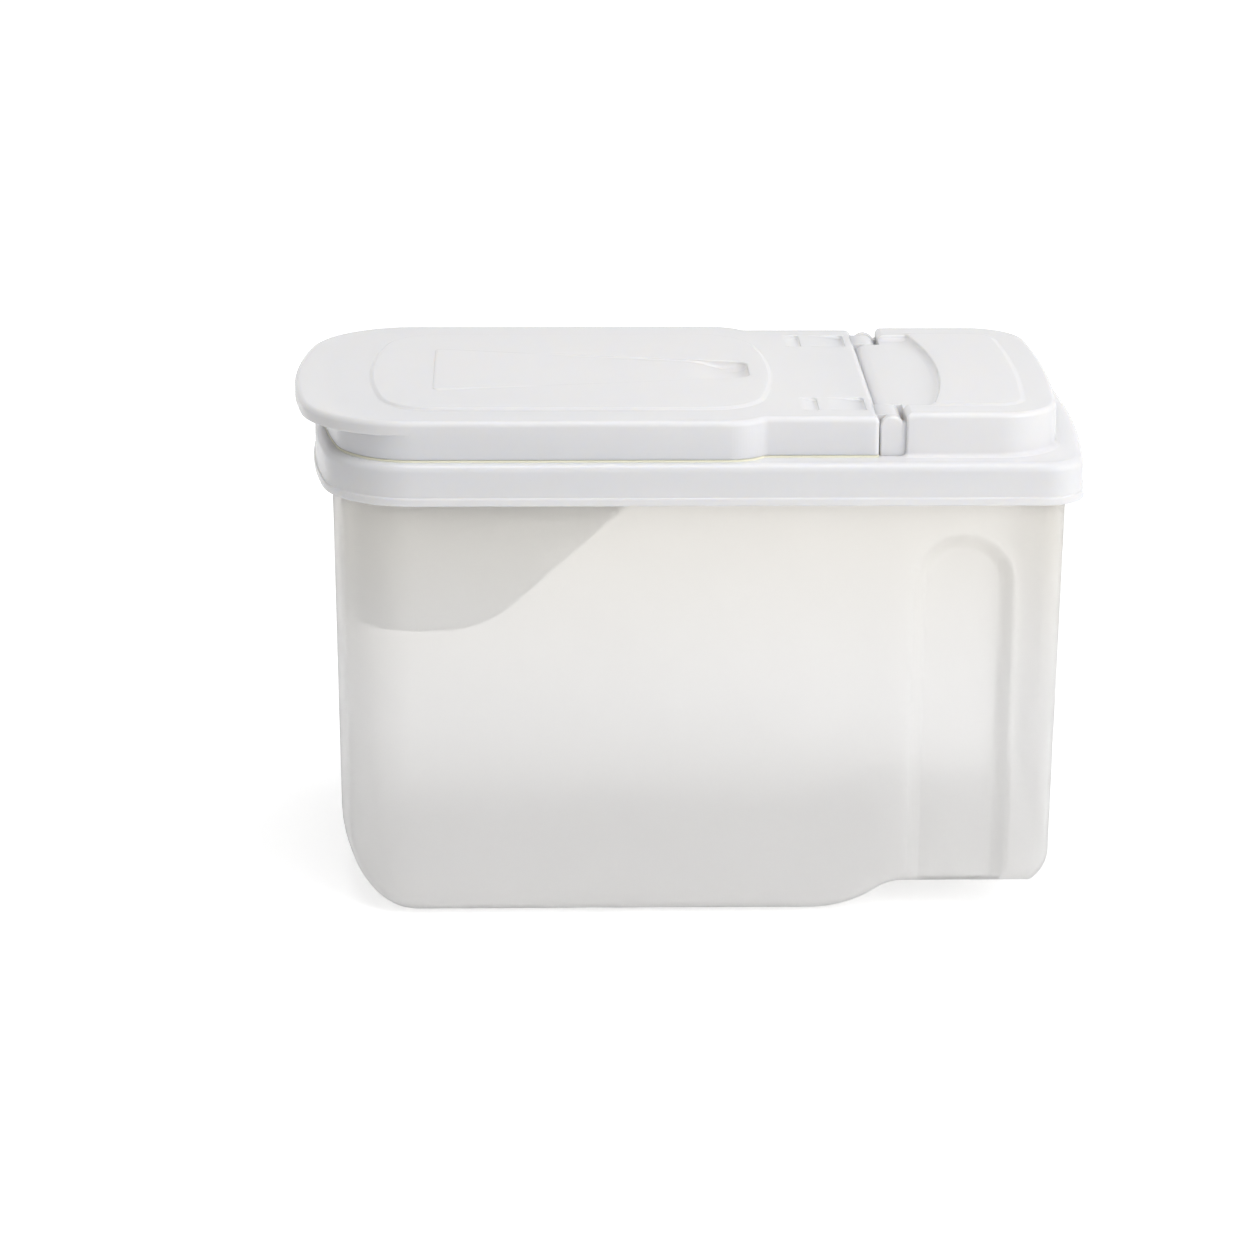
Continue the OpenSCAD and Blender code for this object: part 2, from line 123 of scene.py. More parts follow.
# Arcs of a long outline with bowed ends: ends, half the width, corner and bow radius of each end
def bowedArcs(x0, x1, half, r0, bow0, r1, bow1):
    y0, y1 = half - r0, half - r1
    b0, b1 = x0 + bow0, x1 - bow1
    c0 = b0 - math.sqrt((bow0 - r0) ** 2 - y0 ** 2)
    c1 = b1 + math.sqrt((bow1 - r1) ** 2 - y1 ** 2)
    a0 = math.degrees(math.atan2(y0, b0 - c0))
    a1 = math.degrees(math.atan2(y1, c1 - b1))
    return [
        (b1, 0, bow1, -a1, a1),
        (c1, y1, r1, a1, 90),
        (c0, y0, r0, 90, 180 - a0),
        (b0, 0, bow0, 180 - a0, 180 + a0),
        (c0, -y0, r0, 180 + a0, 270),
        (c1, -y1, r1, 270, 360 - a1),
    ]


# Arcs of a convex polygon with rounded corners: (x, y, radius) counter-clockwise
def cornerArcs(corners):
    arcs = []
    count = len(corners)
    for i, (x, y, r) in enumerate(corners):
        p = np.array([x, y], float)
        before = p - np.array(corners[i - 1][:2], float)
        after = np.array(corners[(i + 1) % count][:2], float) - p
        n0 = np.array([before[1], -before[0]]) / np.hypot(*before)
        n1 = np.array([after[1], -after[0]]) / np.hypot(*after)
        c = p - (n0 + n1) * r / (1 + n0 @ n1)
        a0 = math.degrees(math.atan2(n0[1], n0[0]))
        a1 = math.degrees(math.atan2(n1[1], n1[0]))
        arcs.append((c[0], c[1], r, a0, a0 + (a1 - a0) % 360))
    return arcs


# Arcs of a rectangle with rounded corners
def boxArcs(x0, x1, y0, y1, r):
    return cornerArcs([(x0, y0, r), (x1, y0, r), (x1, y1, r), (x0, y1, r)])


# 0 below a and 1 above b, with a smooth rise between them
def ramp(t, a, b):
    u = np.clip((t - a) / (b - a), 0, 1)
    return u * u * (3 - 2 * u)


# How much of a wall is climbed at distance s: a hollow curve of width w, then a small round edge
def climb(s, w, edge=0.5, left=0.12):
    u = np.clip((s + w) / w, 0, 1)
    low = (1 - left) * (1 - np.sqrt(np.maximum(1 - u * u, 0)))
    high = 1 - left * (1 - np.clip(s / edge, 0, 1)) ** 2
    return np.where(s <= 0, low, high)


# Height of a quarter-round edge of radius r below its flat, at distance s from the outline
def roundEdge(s, r):
    t = np.where(s > -snap, r, np.clip(s + r, 0, r))
    return r - np.sqrt(np.maximum(r * r - t * t, 0))


# Height from a table of (distance, height) rows
def fromTable(s, table):
    s = np.where(np.abs(s) < snap, 0.0, s)
    return np.interp(s, *zip(*table))


# Points in plan, lifted to one height or to a height each
def withZ(points, z):
    points = np.asarray(points, float)
    return np.column_stack([points, np.broadcast_to(z, len(points))])


# A sheet over the plan between barrier rings. The mesh follows the seams, and heightOf gives z.
# It grows from the triangle that holds the seed point and stops at the barriers.
def sheet(barriers, seams, seed, heightOf):
    points = []
    edges = []
    for number, (ring, closed) in enumerate([(b, True) for b in barriers] + list(seams)):
        first = len(points)
        points.extend(Vector((float(p[0]), float(p[1]))) for p in ring)
        last = len(points) - 1
        edges.extend((i, i + 1) for i in range(first, last))
        if closed:
            edges.append((last, first))
        if number == len(barriers) - 1:
            limit = len(edges)
    cut = geometry.delaunay_2d_cdt(points, edges, [], 0, 0.0005)
    corners, cutEdges, faces, _, edgeFrom, _ = cut
    fence = {tuple(sorted(e)) for e, src in zip(cutEdges, edgeFrom) if any(k < limit for k in src)}
    flat = np.array([(c[0], c[1]) for c in corners])
    besides = {}
    for i, f in enumerate(faces):
        for a, b in zip(f, f[1:] + f[:1]):
            besides.setdefault((min(a, b), max(a, b)), []).append(i)
    for start, f in enumerate(faces):
        a, b, c = flat[f[:3]]
        turns = [np.cross(q - p, np.array(seed) - p) for p, q in ((a, b), (b, c), (c, a))]
        if min(turns) >= 0 or max(turns) <= 0:
            break
    inside = {start}
    todo = [start]
    while todo:
        f = faces[todo.pop()]
        for a, b in zip(f, f[1:] + f[:1]):
            key = (min(a, b), max(a, b))
            onward = set() if key in fence else set(besides[key]) - inside
            inside |= onward
            todo += onward
    kept = [faces[i] for i in sorted(inside)]
    used = sorted({k for f in kept for k in f})
    number = {k: i for i, k in enumerate(used)}
    plan = flat[used]
    return withZ(plan, heightOf(plan[:, 0], plan[:, 1])), [[number[k] for k in f] for f in kept]


# Closed seams along an outline drawn in by each distance
def seamsIn(outline, insets):
    return [(outline.ring(d), True) for d in insets]


# Closed seams at the distances of a table's rows
def tableSeams(outline, table):
    return seamsIn(outline, [-row[0] for row in table])


# The outer edge of a sheet, as its points in order
def rimOf(part):
    points, faces = part
    edges = dict.fromkeys((a, b) for f in faces for a, b in zip(f, f[1:] + f[:1]))
    onward = {a: b for a, b in edges if (b, a) not in edges}
    first = min(onward, key=lambda k: points[k, 0])
    order = [first]
    while onward[order[-1]] != first:
        order.append(onward[order[-1]])
    return points[order]


# Quads between rings of equally many points
def loft(rings):
    count = len(rings[0])
    faces = []
    for i in range(len(rings) - 1):
        for j in range(count):
            k = (j + 1) % count
            faces.append([i * count + j, i * count + k, (i + 1) * count + k, (i + 1) * count + j])
    return np.concatenate(rings), faces


# A loft with a face at each end
def closedLoft(rings):
    points, faces = loft(rings)
    count = len(rings[0])
    faces.append(list(range(count)))
    faces.append(list(range(len(points) - count, len(points))))
    return points, faces


# A profile in x and z, placed at one y
def atY(profile, y):
    return np.column_stack([profile[:, 0], np.full(len(profile), y), profile[:, 1]])


def addObject(name, data):
    added = bpy.data.objects.new(name, data)
    bpy.context.collection.objects.link(added)
    return added


# One object from several sheets and walls, in millimetres, with its faces turned outwards
def makePiece(name, parts, material):
    mesh = bmesh.new()
    for vertices, faces in parts:
        made = [mesh.verts.new(Vector(v) * mm) for v in vertices.tolist()]
        for f in faces:
            mesh.faces.new([made[k] for k in f])
    bmesh.ops.remove_doubles(mesh, verts=mesh.verts, dist=snap * mm)
    bmesh.ops.dissolve_degenerate(mesh, edges=mesh.edges, dist=0.0005 * mm)
    bmesh.ops.recalc_face_normals(mesh, faces=mesh.faces)
    data = bpy.data.meshes.new(name)
    mesh.to_mesh(data)
    mesh.free()
    data.shade_smooth()
    data.materials.append(material)
    piece = addObject(name, data)
    piece.modifiers.new("weighted", "WEIGHTED_NORMAL")
    print(name, len(data.vertices), "vertices")
    return piece


# Gives a node's inputs their values, and links those that are another node's output
def feed(tree, node, inputs):
    for key, value in inputs.items():
        if isinstance(value, bpy.types.NodeSocket):
            tree.links.new(value, node.inputs[key])
        else:
            node.inputs[key].default_value = value


def addNode(tree, kind, inputs):
    node = tree.nodes.new(kind)
    feed(tree, node, inputs)
    return node


def mathNode(tree, operation, *inputs):
    node = tree.nodes.new("ShaderNodeMath")
    node.operation = operation
    feed(tree, node, dict(enumerate(inputs)))
    return node


def vectorNode(tree, operation, inputs):
    node = tree.nodes.new("ShaderNodeVectorMath")
    node.operation = operation
    feed(tree, node, inputs)
    return node


# A smooth change from one value to another while the input goes through a range
def smoothRange(tree, value, between, given):
    inputs = {"Value": value, "From Min": between[0], "From Max": between[1]}
    node = addNode(tree, "ShaderNodeMapRange", inputs | {"To Min": given[0], "To Max": given[1]})
    node.interpolation_type = "SMOOTHSTEP"
    return node.outputs["Result"]


# An empty material with its node tree and shader
def newMaterial(name):
    material = bpy.data.materials.new(name)
    material.use_nodes = True
    tree = material.node_tree
    tree.nodes.clear()
    shader = tree.nodes.new("ShaderNodeBsdfPrincipled")
    addNode(tree, "ShaderNodeOutputMaterial", {"Surface": shader.outputs["BSDF"]})
    return material, tree, shader


# A group that gives a moulded surface: slow tone and roughness changes and a fine grain
def mouldedGroup():
    group = bpy.data.node_groups.new("mouldedSurface", "ShaderNodeTree")
    wanted = ("Grain size", "Cloud size", "Tone change", "Roughness", "Roughness change", "Colour")
    for way, names in (("INPUT", wanted), ("OUTPUT", ("Colour", "Roughness", "Height"))):
        for name in names:
            kind = "NodeSocketColor" if name == "Colour" else "NodeSocketFloat"
            group.interface.new_socket(name, in_out=way, socket_type=kind)
    taken = group.nodes.new("NodeGroupInput").outputs
    place = group.nodes.new("ShaderNodeTexCoord").outputs["Object"]
    slow = {"Vector": place, "Scale": taken["Cloud size"], "Detail": 4, "Roughness": 0.55}
    cloud = addNode(group, "ShaderNodeTexNoise", slow)
    fine = {"Vector": place, "Scale": taken["Grain size"], "Detail": 3}
    grain = addNode(group, "ShaderNodeTexNoise", fine)
    swing = mathNode(group, "SUBTRACT", cloud.outputs["Fac"], 0.5).outputs[0]
    tone = mathNode(group, "MULTIPLY_ADD", swing, taken["Tone change"], 1.0)
    shade = vectorNode(group, "SCALE", {0: taken["Colour"], "Scale": tone.outputs[0]})
    rough = mathNode(group, "MULTIPLY_ADD", swing, taken["Roughness change"], taken["Roughness"])
    rough.use_clamp = True
    given = {"Colour": shade.outputs[0], "Roughness": rough.outputs[0], "Height": grain.outputs["Fac"]}
    addNode(group, "NodeGroupOutput", given)
    return group


moulded = mouldedGroup()


# A colour that changes from low to high on the piece. It is painted light: warmer at the top, where light
# comes through the plastic, and cooler lower down, as shade inside.
def paintedLightByHeight(tree, v):
    place = tree.nodes.new("ShaderNodeTexCoord").outputs["Object"]
    split = addNode(tree, "ShaderNodeSeparateXYZ", {0: place})
    mix = tree.nodes.new("ShaderNodeMix")
    mix.data_type = "RGBA"
    high = smoothRange(tree, split.outputs["Z"], v["fade"], (0.0, 1.0))
    feed(tree, mix, {"A": (*v["lowColour"], 1), "B": (*v["colour"], 1), "Factor": high})
    return mix.outputs["Result"]


# A plastic with the moulded surface, from one dictionary of values
def plastic(name, v):
    material, tree, shader = newMaterial(name)
    surface = tree.nodes.new("ShaderNodeGroup")
    surface.node_tree = moulded
    feed(tree, surface, {
        "Colour": paintedLightByHeight(tree, v) if "lowColour" in v else (*v["colour"], 1),
        "Grain size": v["grainSize"],
        "Cloud size": v["cloudSize"],
        "Tone change": v["toneChange"],
        "Roughness": v["roughness"],
        "Roughness change": v["roughnessChange"],
    })
    made = surface.outputs
    bump = {"Strength": v["grainStrength"], "Distance": v["grainDepth"] * mm, "Height": made["Height"]}
    feed(tree, shader, {
        "Base Color": made["Colour"],
        "Roughness": made["Roughness"],
        "Normal": addNode(tree, "ShaderNodeBump", bump).outputs["Normal"],
        "IOR": v["ior"],
        "Transmission Weight": v.get("transmission", 0.0),
        "Subsurface Weight": v.get("scatter", 0.0),
        "Subsurface Radius": v.get("scatterColour", (1.0, 1.0, 1.0)),
        "Subsurface Scale": v.get("scatterDepth", 0.0) * mm,
    })
    return material


smoothPlastic = {
    "grainSize": 900.0,
    "grainStrength": 0.1,
    "grainDepth": 0.03,
}
whitePlastic = {
    **smoothPlastic,
    "colour": (0.808, 0.802, 0.812),
    "roughness": 0.25,
    "roughnessChange": 0.04,
    "toneChange": 0.01,
    "cloudSize": 16.0,
    "ior": 1.49,
    "scatter": 0.6,
    "scatterColour": (1.0, 0.9, 0.72),
    "scatterDepth": 5.0,
}
milkyPlastic = {
    **smoothPlastic,
    "colour": (0.965, 0.948, 0.915),
    # lowColour and fade paint light into the bin: cooler low down as painted shade, warmer up high as
    # painted light through the plastic
    "lowColour": (0.96, 0.955, 0.95),
    "fade": (0.085, 0.185),
    "roughness": 0.34,
    "roughnessChange": 0.05,
    "toneChange": 0.012,
    "cloudSize": 12.0,
    "ior": 1.2,
    "transmission": 0.74,
}
greyPlastic = {
    "colour": (0.80, 0.81, 0.825),
    "roughness": 0.36,
    "roughnessChange": 0.06,
    "toneChange": 0.02,
    "cloudSize": 25.0,
    "grainSize": 1500.0,
    "grainStrength": 0.25,
    "grainDepth": 0.03,
    "ior": 1.49,
}
softSeal = {
    # Partly the seal's own yellow and partly painted light: made paler to make up for the shade of the
    # groove it sits in
    "colour": (0.93, 0.91, 0.74),
    "roughness": 0.55,
    "roughnessChange": 0.1,
    "toneChange": 0.05,
    "cloudSize": 40.0,
    "grainSize": 1000.0,
    "grainStrength": 0.4,
    "grainDepth": 0.05,
    "ior": 1.42,
}
white = plastic("whitePlastic", whitePlastic)
milky = plastic("milkyPlastic", milkyPlastic)
grey = plastic("greyPlastic", greyPlastic)
seal = plastic("softSeal", softSeal)
print("materials made")


container = {
    "plan": (-149.2, 160.8, 84.5, 32, 300, 10, 640),
    "draft": 0.7,
    "rimZ": 195.0,
    "wall": 2.0,
    "rimOut": 4.0,
    "rimThick": 2.2,
    "footSide": 12.0,
    "footPour": 28.0,
    "footGrip": 15.0,
    "stepHigh": 12.0,
    "stepX": 92.8,
    "stepStartR": 50.0,
    "stepEndR": 20.0,
    "gripX": 114.8,
    "gripZ": 146.0,
    "gripR": 22.0,
    "gripDepth": 6.0,
    "gripSoft": 0.68,
    "gripBlend": 0.3,
    "gripFade": 1.4,
    "wallRings": 84,
    "footRings": 14,
    "stepFine": (52, 88, 2.0),  # from, to and step of the mesh along the floor's rise
    "gripFine": (88, 143, 1.1),  # and along a grip recess
    "stepSeams": (52, 94),
}


# Height of the floor's underside along the bin
def floorHeight(x):
    v = container
    r0, r1, endX = v["stepStartR"], v["stepEndR"], v["stepX"]
    turn = math.acos(1 - v["stepHigh"] / (r0 + r1))
    riseX = endX - (r0 + r1) * math.sin(turn)
    bend = riseX + r0 * math.sin(turn)
    low = r0 - np.sqrt(r0 ** 2 - np.clip(x - riseX, 0, bend - riseX) ** 2)
    back = np.clip(endX - x, 0, endX - bend)
    high = v["stepHigh"] - r1 + np.sqrt(r1 ** 2 - back ** 2)
    return np.where(x < bend, low, high)


# How far a grip recess presses a side wall inwards; t is the wall's thickness on the inner face.
# A smooth maximum with zero joins the recess to the wall and lets it fade out past its edge.
def gripPress(x, z, inset, t):
    v = container
    far = np.hypot(x - v["gripX"], np.maximum(z - v["gripZ"], 0)) / (v["gripR"] + 0.8 * t)
    press = v["gripDepth"] * (1 - ramp(far, v["gripSoft"], 1)) - 2 * np.maximum(far - 1, 0)
    press = press - inset
    return 0.5 * (press + np.sqrt(press ** 2 + v["gripBlend"])) * ramp(-far, -v["gripFade"], -1.0)


# The outline drawn in by an inset that may pass the radius of the two grip corners
def tightRing(outline, inset):
    cx, cy, r = outline.arcs[1][:3]
    p, n = outline.points, outline.normals
    ring = p - inset[:, None] * n
    past = np.maximum(inset - (r - 1.0), 0)
    limitX, limitY = cx - past, cy - past
    left = np.maximum(r - inset, 1.0)
    corner = (p[:, 0] > cx + 1e-6) & (np.abs(p[:, 1]) > cy + 1e-6)
    side = (np.abs(n[:, 1]) > 0.999) & (p[:, 0] <= cx + 1e-6)
    end = (n[:, 0] > 0.9) & (np.abs(p[:, 1]) <= cy + 1e-6)
    ring[corner, 0] = (limitX + left * n[:, 0])[corner]
    ring[corner, 1] = (np.sign(p[:, 1]) * (limitY + left * np.abs(n[:, 1])))[corner]
    ring[side, 0] = np.minimum(ring[:, 0], limitX)[side]
    ring[end, 1] = np.clip(ring[:, 1], -limitY, limitY)[end]
    return ring


# Rings of the tub's outer face (t = 0) or inner face, from the top down to the floor's edge
def tubRings(outline, t, top):
    v = container
    rimZ, lean = v["rimZ"], math.radians(v["draft"])
    p, n = outline.points, outline.normals
    foot = np.where(n[:, 0] < 0, v["footPour"], v["footGrip"]) * n[:, 0] ** 2
    foot = foot + v["footSide"] * n[:, 1] ** 2
    floor = floorHeight(p[:, 0])
    centreZ = floor + foot
    centreIn = foot / math.cos(lean) + (rimZ - centreZ) * math.tan(lean)
    wallZ = centreZ - (foot - t) * math.sin(lean)
    rings = []

    def add(inset, z, below):
        ring = tightRing(outline, np.broadcast_to(inset, len(p)))
        push = gripPress(ring[:, 0], z, below, t) * (np.abs(n[:, 1]) > 0.99)
        ring = ring - push[:, None] * n
        rings.append(np.column_stack([ring, z]))

    for k in np.linspace(0, 1, v["wallRings"]):
        z = top + (wallZ - top) * k
        add((rimZ - z) * math.tan(lean) + t / math.cos(lean), z, 0.0)
    for a in np.radians(np.linspace(v["draft"], 90, v["footRings"] + 1)[1:]):
        inset = centreIn - (foot - t) * math.cos(a)
        z = centreZ - (foot - t) * math.sin(a)
        line = (rimZ - z) * math.tan(lean) + t / math.cos(lean)
        add(inset, z, inset - line)
    return rings


def makeContainer():
    v = container
    fine = np.round(np.concatenate([np.arange(*v["stepFine"]), np.arange(*v["gripFine"])]), 3)
    outline = Outline(bowedArcs(*v["plan"]), arcStep=2.0, lineStep=6.0, fine=fine)
    wall, out, top = v["wall"], v["rimOut"], v["rimZ"]
    under = top - v["rimThick"]
    outer = tubRings(outline, 0.0, under - 0.8)
    inner = tubRings(outline, wall, top - 0.8)
    # the rim's section from the inside out, as (inset, z), with rounded corners
    edge = [(wall + 0.2, top - 0.25), (wall - 0.3, top), (-out + 0.6, top), (-out + 0.15, top - 0.2)]
    edge += [(-out, top - 0.6), (-out, under + 0.5), (-out + 0.15, under + 0.12), (-out + 0.5, under)]
    edge += [(-0.7, under), (-0.15, under - 0.2)]
    rim = [withZ(outline.ring(d), z) for d, z in edge]
    rings = inner[::-1] + rim + outer
    shell = loft(rings)

    # The floor, with seams from side to side along its rise
    def floorSheet(ring, t):
        seams = []
        x0, x1 = v["stepSeams"]
        sides = [i for i in range(len(ring)) if x0 < outline.points[i, 0] < x1]
        for i in sides:
            if ring[i, 1] > 0:
                mirrored = ring[:, :2] - ring[i, :2] * (1, -1)
                mirror = min(sides, key=lambda k: np.abs(mirrored[k]).sum())
                across = np.linspace(0, 1, 9)[:, None]
                seams.append((ring[i, :2] * (1 - across) + ring[mirror, :2] * across, False))
        return sheet([ring[:, :2]], seams, (0.0, 0.0), lambda x, y: floorHeight(x) + t)

    parts = [shell, floorSheet(outer[-1], 0.0), floorSheet(inner[-1], wall)]
    piece = makePiece("containerTub", parts, milky)
    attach(piece, "bin")
    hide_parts("container")


makeContainer()


flipLid = {
    "plateX": -164.15,
    "half": 87.3,
    "plateCornerR": 46.0,
    "plateBowR": 265.0,
    "lipDepth": 11.95,
    "shoulderX": 16.2,
    "shoulderR": 19.0,
    "filletR": 4.0,
    "neckHalf": 80.0,
    "neckX": 78.3,
    "neckCornerR": 1.8,
    "topZ": 216.5,
    "thick": 2.2,
    "skirtZ": 200.4,
    "skirtWall": 2.0,
    "lipDrop": 6.0,
    "lipFine": (-116.0, -110.0, 0.25),  # from, to and step of the mesh where lip and skirt part
    "edgeR": 2.4,
    "neckEdgeR": 2.8,
    "neckEdgeX": (70, 76),
    "edgeSteps": (0.03, 0.12, 0.3, 0.55, 0.85, 1.2, 1.6, 2.0, 2.4, 2.8),
    "raised": (-132.8, 38.8, 68.3, 25, 235, 25, 235),
    "raisedHigh": 1.0,
    "raisedEdge": 2.4,
    "wedgeX": (-105.2, 28.8),
    "wedgeHalf": (37.0, 14.0),
    "wedgeR": (2.6, 6.5),
    "wedgeDeep": 3.6,
    "wedgeProud": 0.6,
    "wedgeShallow": 1.2,
    "wedgeDip": (4.0, 20.0),
    "wedgeSide": (1.6, 5.0, 12, 5, 0.6),  # width, more of it from and to here before the end, round edge
    "wedgeUnder": 2.5,
    "wedgeSteps": (1.6, 1.3, 1.0, 0.7, 0.4, 0.2, 0.06, 0.0, -0.02, -0.15, -0.3, -0.6),
    "wedgeEndX": 14.0,
    "wedgeEndSteps": (6.4, 5.6, 4.8, 4.0, 3.2, 2.6, 2.1),
    "dimples": ((57.0, 74.0), (46.5, 54.5)),
    "dimpleY": 57.0,
    "dimpleHalf": 11.0,
    "dimpleR": 2.2,
    "dimpleDeep": 1.8,
    "dimpleCurve": 1.7,
    "dimpleSide": (2.1, 0.4, 4, 1.5, 0.4),
    "dimpleSteps": (2.15, 1.8, 1.45, 1.1, 0.8, 0.5, 0.3, 0.15, 0.05, 0.0, -0.02, -0.15, -0.4),
    "hinge": (83.8, 211.0),
    "knuckleR": 4.7,
    "knuckleY": (54.9, 71.6),
    "knuckleArm": 7.5,
    "knuckleLow": 2.4,
    "knucklePoints": 40,
}


# Arcs of the flip lid's outline: a bowed end, straight sides, a shoulder and a neck up to neckX.
# The bowed end is drawn in by depth, as the skirt's is under the lip.
def neckedArcs(depth, neckX):
    v = flipLid
    sx, sr, fr, er = v["shoulderX"], v["shoulderR"], v["filletR"], v["neckCornerR"]
    sy, fy = v["half"] - sr, v["neckHalf"] + fr
    fx = sx + math.sqrt((sr + fr) ** 2 - (fy - sy) ** 2)
    turn = math.degrees(math.atan2(fy - sy, fx - sx))
    ex, ey = neckX - er, v["neckHalf"] - er
    x0, r0, bow0 = v["plateX"] + depth, v["plateCornerR"] - depth, v["plateBowR"] - depth
    pour = bowedArcs(x0, x0 + 1000, v["half"], r0, bow0, 10, 5000)[2:5]
    return [
        (ex, -ey, er, 270, 360),
        (ex, ey, er, 0, 90),
        (fx, fy, fr, 270, 180 + turn),
        (sx, sy, sr, turn, 90),
        *pour,
        (sx, -sy, sr, 270, 360 - turn),
        (fx, -fy, fr, 180 - turn, 90),
    ]


def makeFlipLid():
    v = flipLid
    fine = np.arange(*v["lipFine"])
    plate = Outline(neckedArcs(0, v["neckX"]), fine=fine)
    skirt = Outline(neckedArcs(v["lipDepth"], v["neckX"]), arcStep=0.7, fine=fine)
    raised = Outline(bowedArcs(*v["raised"]))
    (wx0, wx1), (wide, narrow), (wr0, wr1) = v["wedgeX"], v["wedgeHalf"], v["wedgeR"]
    corners = [(wx0, -wide, wr0), (wx1, -narrow, wr1), (wx1, narrow, wr1), (wx0, wide, wr0)]
    wedge = Outline(cornerArcs(corners))
    dimples = []
    for x0, x1 in v["dimples"]:
        for y in (-v["dimpleY"], v["dimpleY"]):
            box = boxArcs(x0, x1, y - v["dimpleHalf"], y + v["dimpleHalf"], v["dimpleR"])
            dimples.append((Outline(box), x0, x1))

    # Share of a hollow's depth at distance s from its outline. Its side widens before it ends at endX.
    def sunk(s, x, endX, side):
        width, more, far, near, edge = side
        return (1 - climb(s, width + more * ramp(x, endX - far, endX - near), edge)) * (s < edge)

    # The upper face: a rounded edge, the raised panel with its wedge, and the dimples
    def topHeight(x, y):
        r = v["edgeR"] + (v["neckEdgeR"] - v["edgeR"]) * ramp(x, *v["neckEdgeX"])
        z = v["topZ"] - roundEdge(plate.away(x, y), r)
        z = z + v["raisedHigh"] * (1 - ramp(raised.away(x, y), -v["raisedEdge"], 0))
        along = (x - wx0) / (wx1 - wx0)
        floor = v["wedgeProud"] - (v["wedgeProud"] + v["wedgeShallow"]) * along
        floor = floor - (v["wedgeDeep"] - v["wedgeShallow"]) * ramp(x, *v["wedgeDip"])
        z = z + floor * sunk(wedge.away(x, y), x, wx1, v["wedgeSide"])
        for ring, x0, x1 in dimples:
            deep = v["dimpleDeep"] * np.clip((x - x0) / (x1 - x0), 0, 1) ** v["dimpleCurve"]
            z = z - deep * sunk(ring.away(x, y), x, x1, v["dimpleSide"])
        return z

    topSeams = seamsIn(plate, v["edgeSteps"]) + seamsIn(raised, v["raisedEdge"] * np.linspace(0, 1, 9))
    topSeams += seamsIn(wedge, v["wedgeSteps"])
    deepEnd = wedge.points[:, 0] > wx1 - v["wedgeEndX"]
    topSeams += [(wedge.ring(d)[deepEnd], False) for d in v["wedgeEndSteps"]]
    for ring, x0, x1 in dimples:
        topSeams += seamsIn(ring, v["dimpleSteps"])

    # sections of the lip and of the skirt as (distance, z), with rounded corners
    ceiling = v["topZ"] - v["thick"]
    lipZ = v["topZ"] - v["lipDrop"]
    wall = v["skirtWall"]
    lipTable = ((-3.6, ceiling), (-2.6, ceiling - 0.25), (-2.1, ceiling - 0.9), (-2.0, lipZ + 0.4),
                (-1.9, lipZ + 0.12), (-1.6, lipZ), (-0.5, lipZ), (-0.14, lipZ + 0.15), (0, lipZ + 0.5))
    low = v["skirtZ"]
    skirtTable = ((-3.2, ceiling), (-2.5, ceiling - 0.25), (-2.15, ceiling - 0.9), (-wall, low + 0.5),
                  (-wall + 0.1, low + 0.12), (-wall + 0.4, low), (-0.4, low), (-0.1, low + 0.1),
                  (0, low + 0.35), (0.04, ceiling - 0.9), (0.35, ceiling - 0.25), (1.0, ceiling))

    # The lower face: the ceiling, with the lip, the skirt and the wedge's floor below it
    def underHeight(x, y):
        lip = fromTable(plate.away(x, y), lipTable)
        rim = fromTable(skirt.away(x, y), skirtTable)
        along = np.clip((x - wx0) / (wx1 - wx0), 0, 1)
        near = 1 - climb(wedge.away(x, y) - v["thick"], v["wedgeUnder"])
        sink = (v["wedgeDeep"] * along - v["raisedHigh"]) * near
        return np.minimum(np.minimum(lip, rim), ceiling - np.maximum(sink, 0))

    underSeams = tableSeams(plate, lipTable[:-1]) + tableSeams(skirt, skirtTable)
    underSeams += seamsIn(wedge, (0.3, -0.5, -1.2, -2.2, -2.7))
    under = sheet([plate.ring(0)], underSeams, (-100.0, 0.0), underHeight)
    rim = rimOf(under)
    top = sheet([rim[:, :2]], topSeams, (-140.0, 0.0), topHeight)
    topEdge = topHeight(rim[:, 0], rim[:, 1])
    side = loft([withZ(rim[:, :2], rim[:, 2] + (topEdge - rim[:, 2]) * k) for k in (0, 0.5, 1)])
    piece = makePiece("flipLidPlate", [top, under, side, *knuckleParts()], white)
    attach(piece, "flap")
    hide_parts("flip_lid")


# Both knuckles with their arms, as closed shells with rounded ends
def knuckleParts():
    v = flipLid
    hx, hz = v["hinge"]

    # Section of a knuckle and its arm, drawn in by t
    def profile(t):
        r = v["knuckleR"] - t
        left = hx - v["knuckleArm"] + t
        low = hz - v["knuckleLow"] + t
        arc = arcRow(hx, hz, r, 90, math.degrees(math.asin((hz - low) / r)) - 180, v["knucklePoints"])
        return np.concatenate([arc, [(left, low), (left, hz + r)]])

    y0, y1 = v["knuckleY"]
    ends = ((y0, 0.5), (y0 + 0.1, 0.2), (y0 + 0.5, 0), (y1 - 0.5, 0), (y1 - 0.1, 0.2), (y1, 0.5))
    return [closedLoft([atY(profile(t), side * y) for y, t in ends]) for side in (-1, 1)]


makeFlipLid()


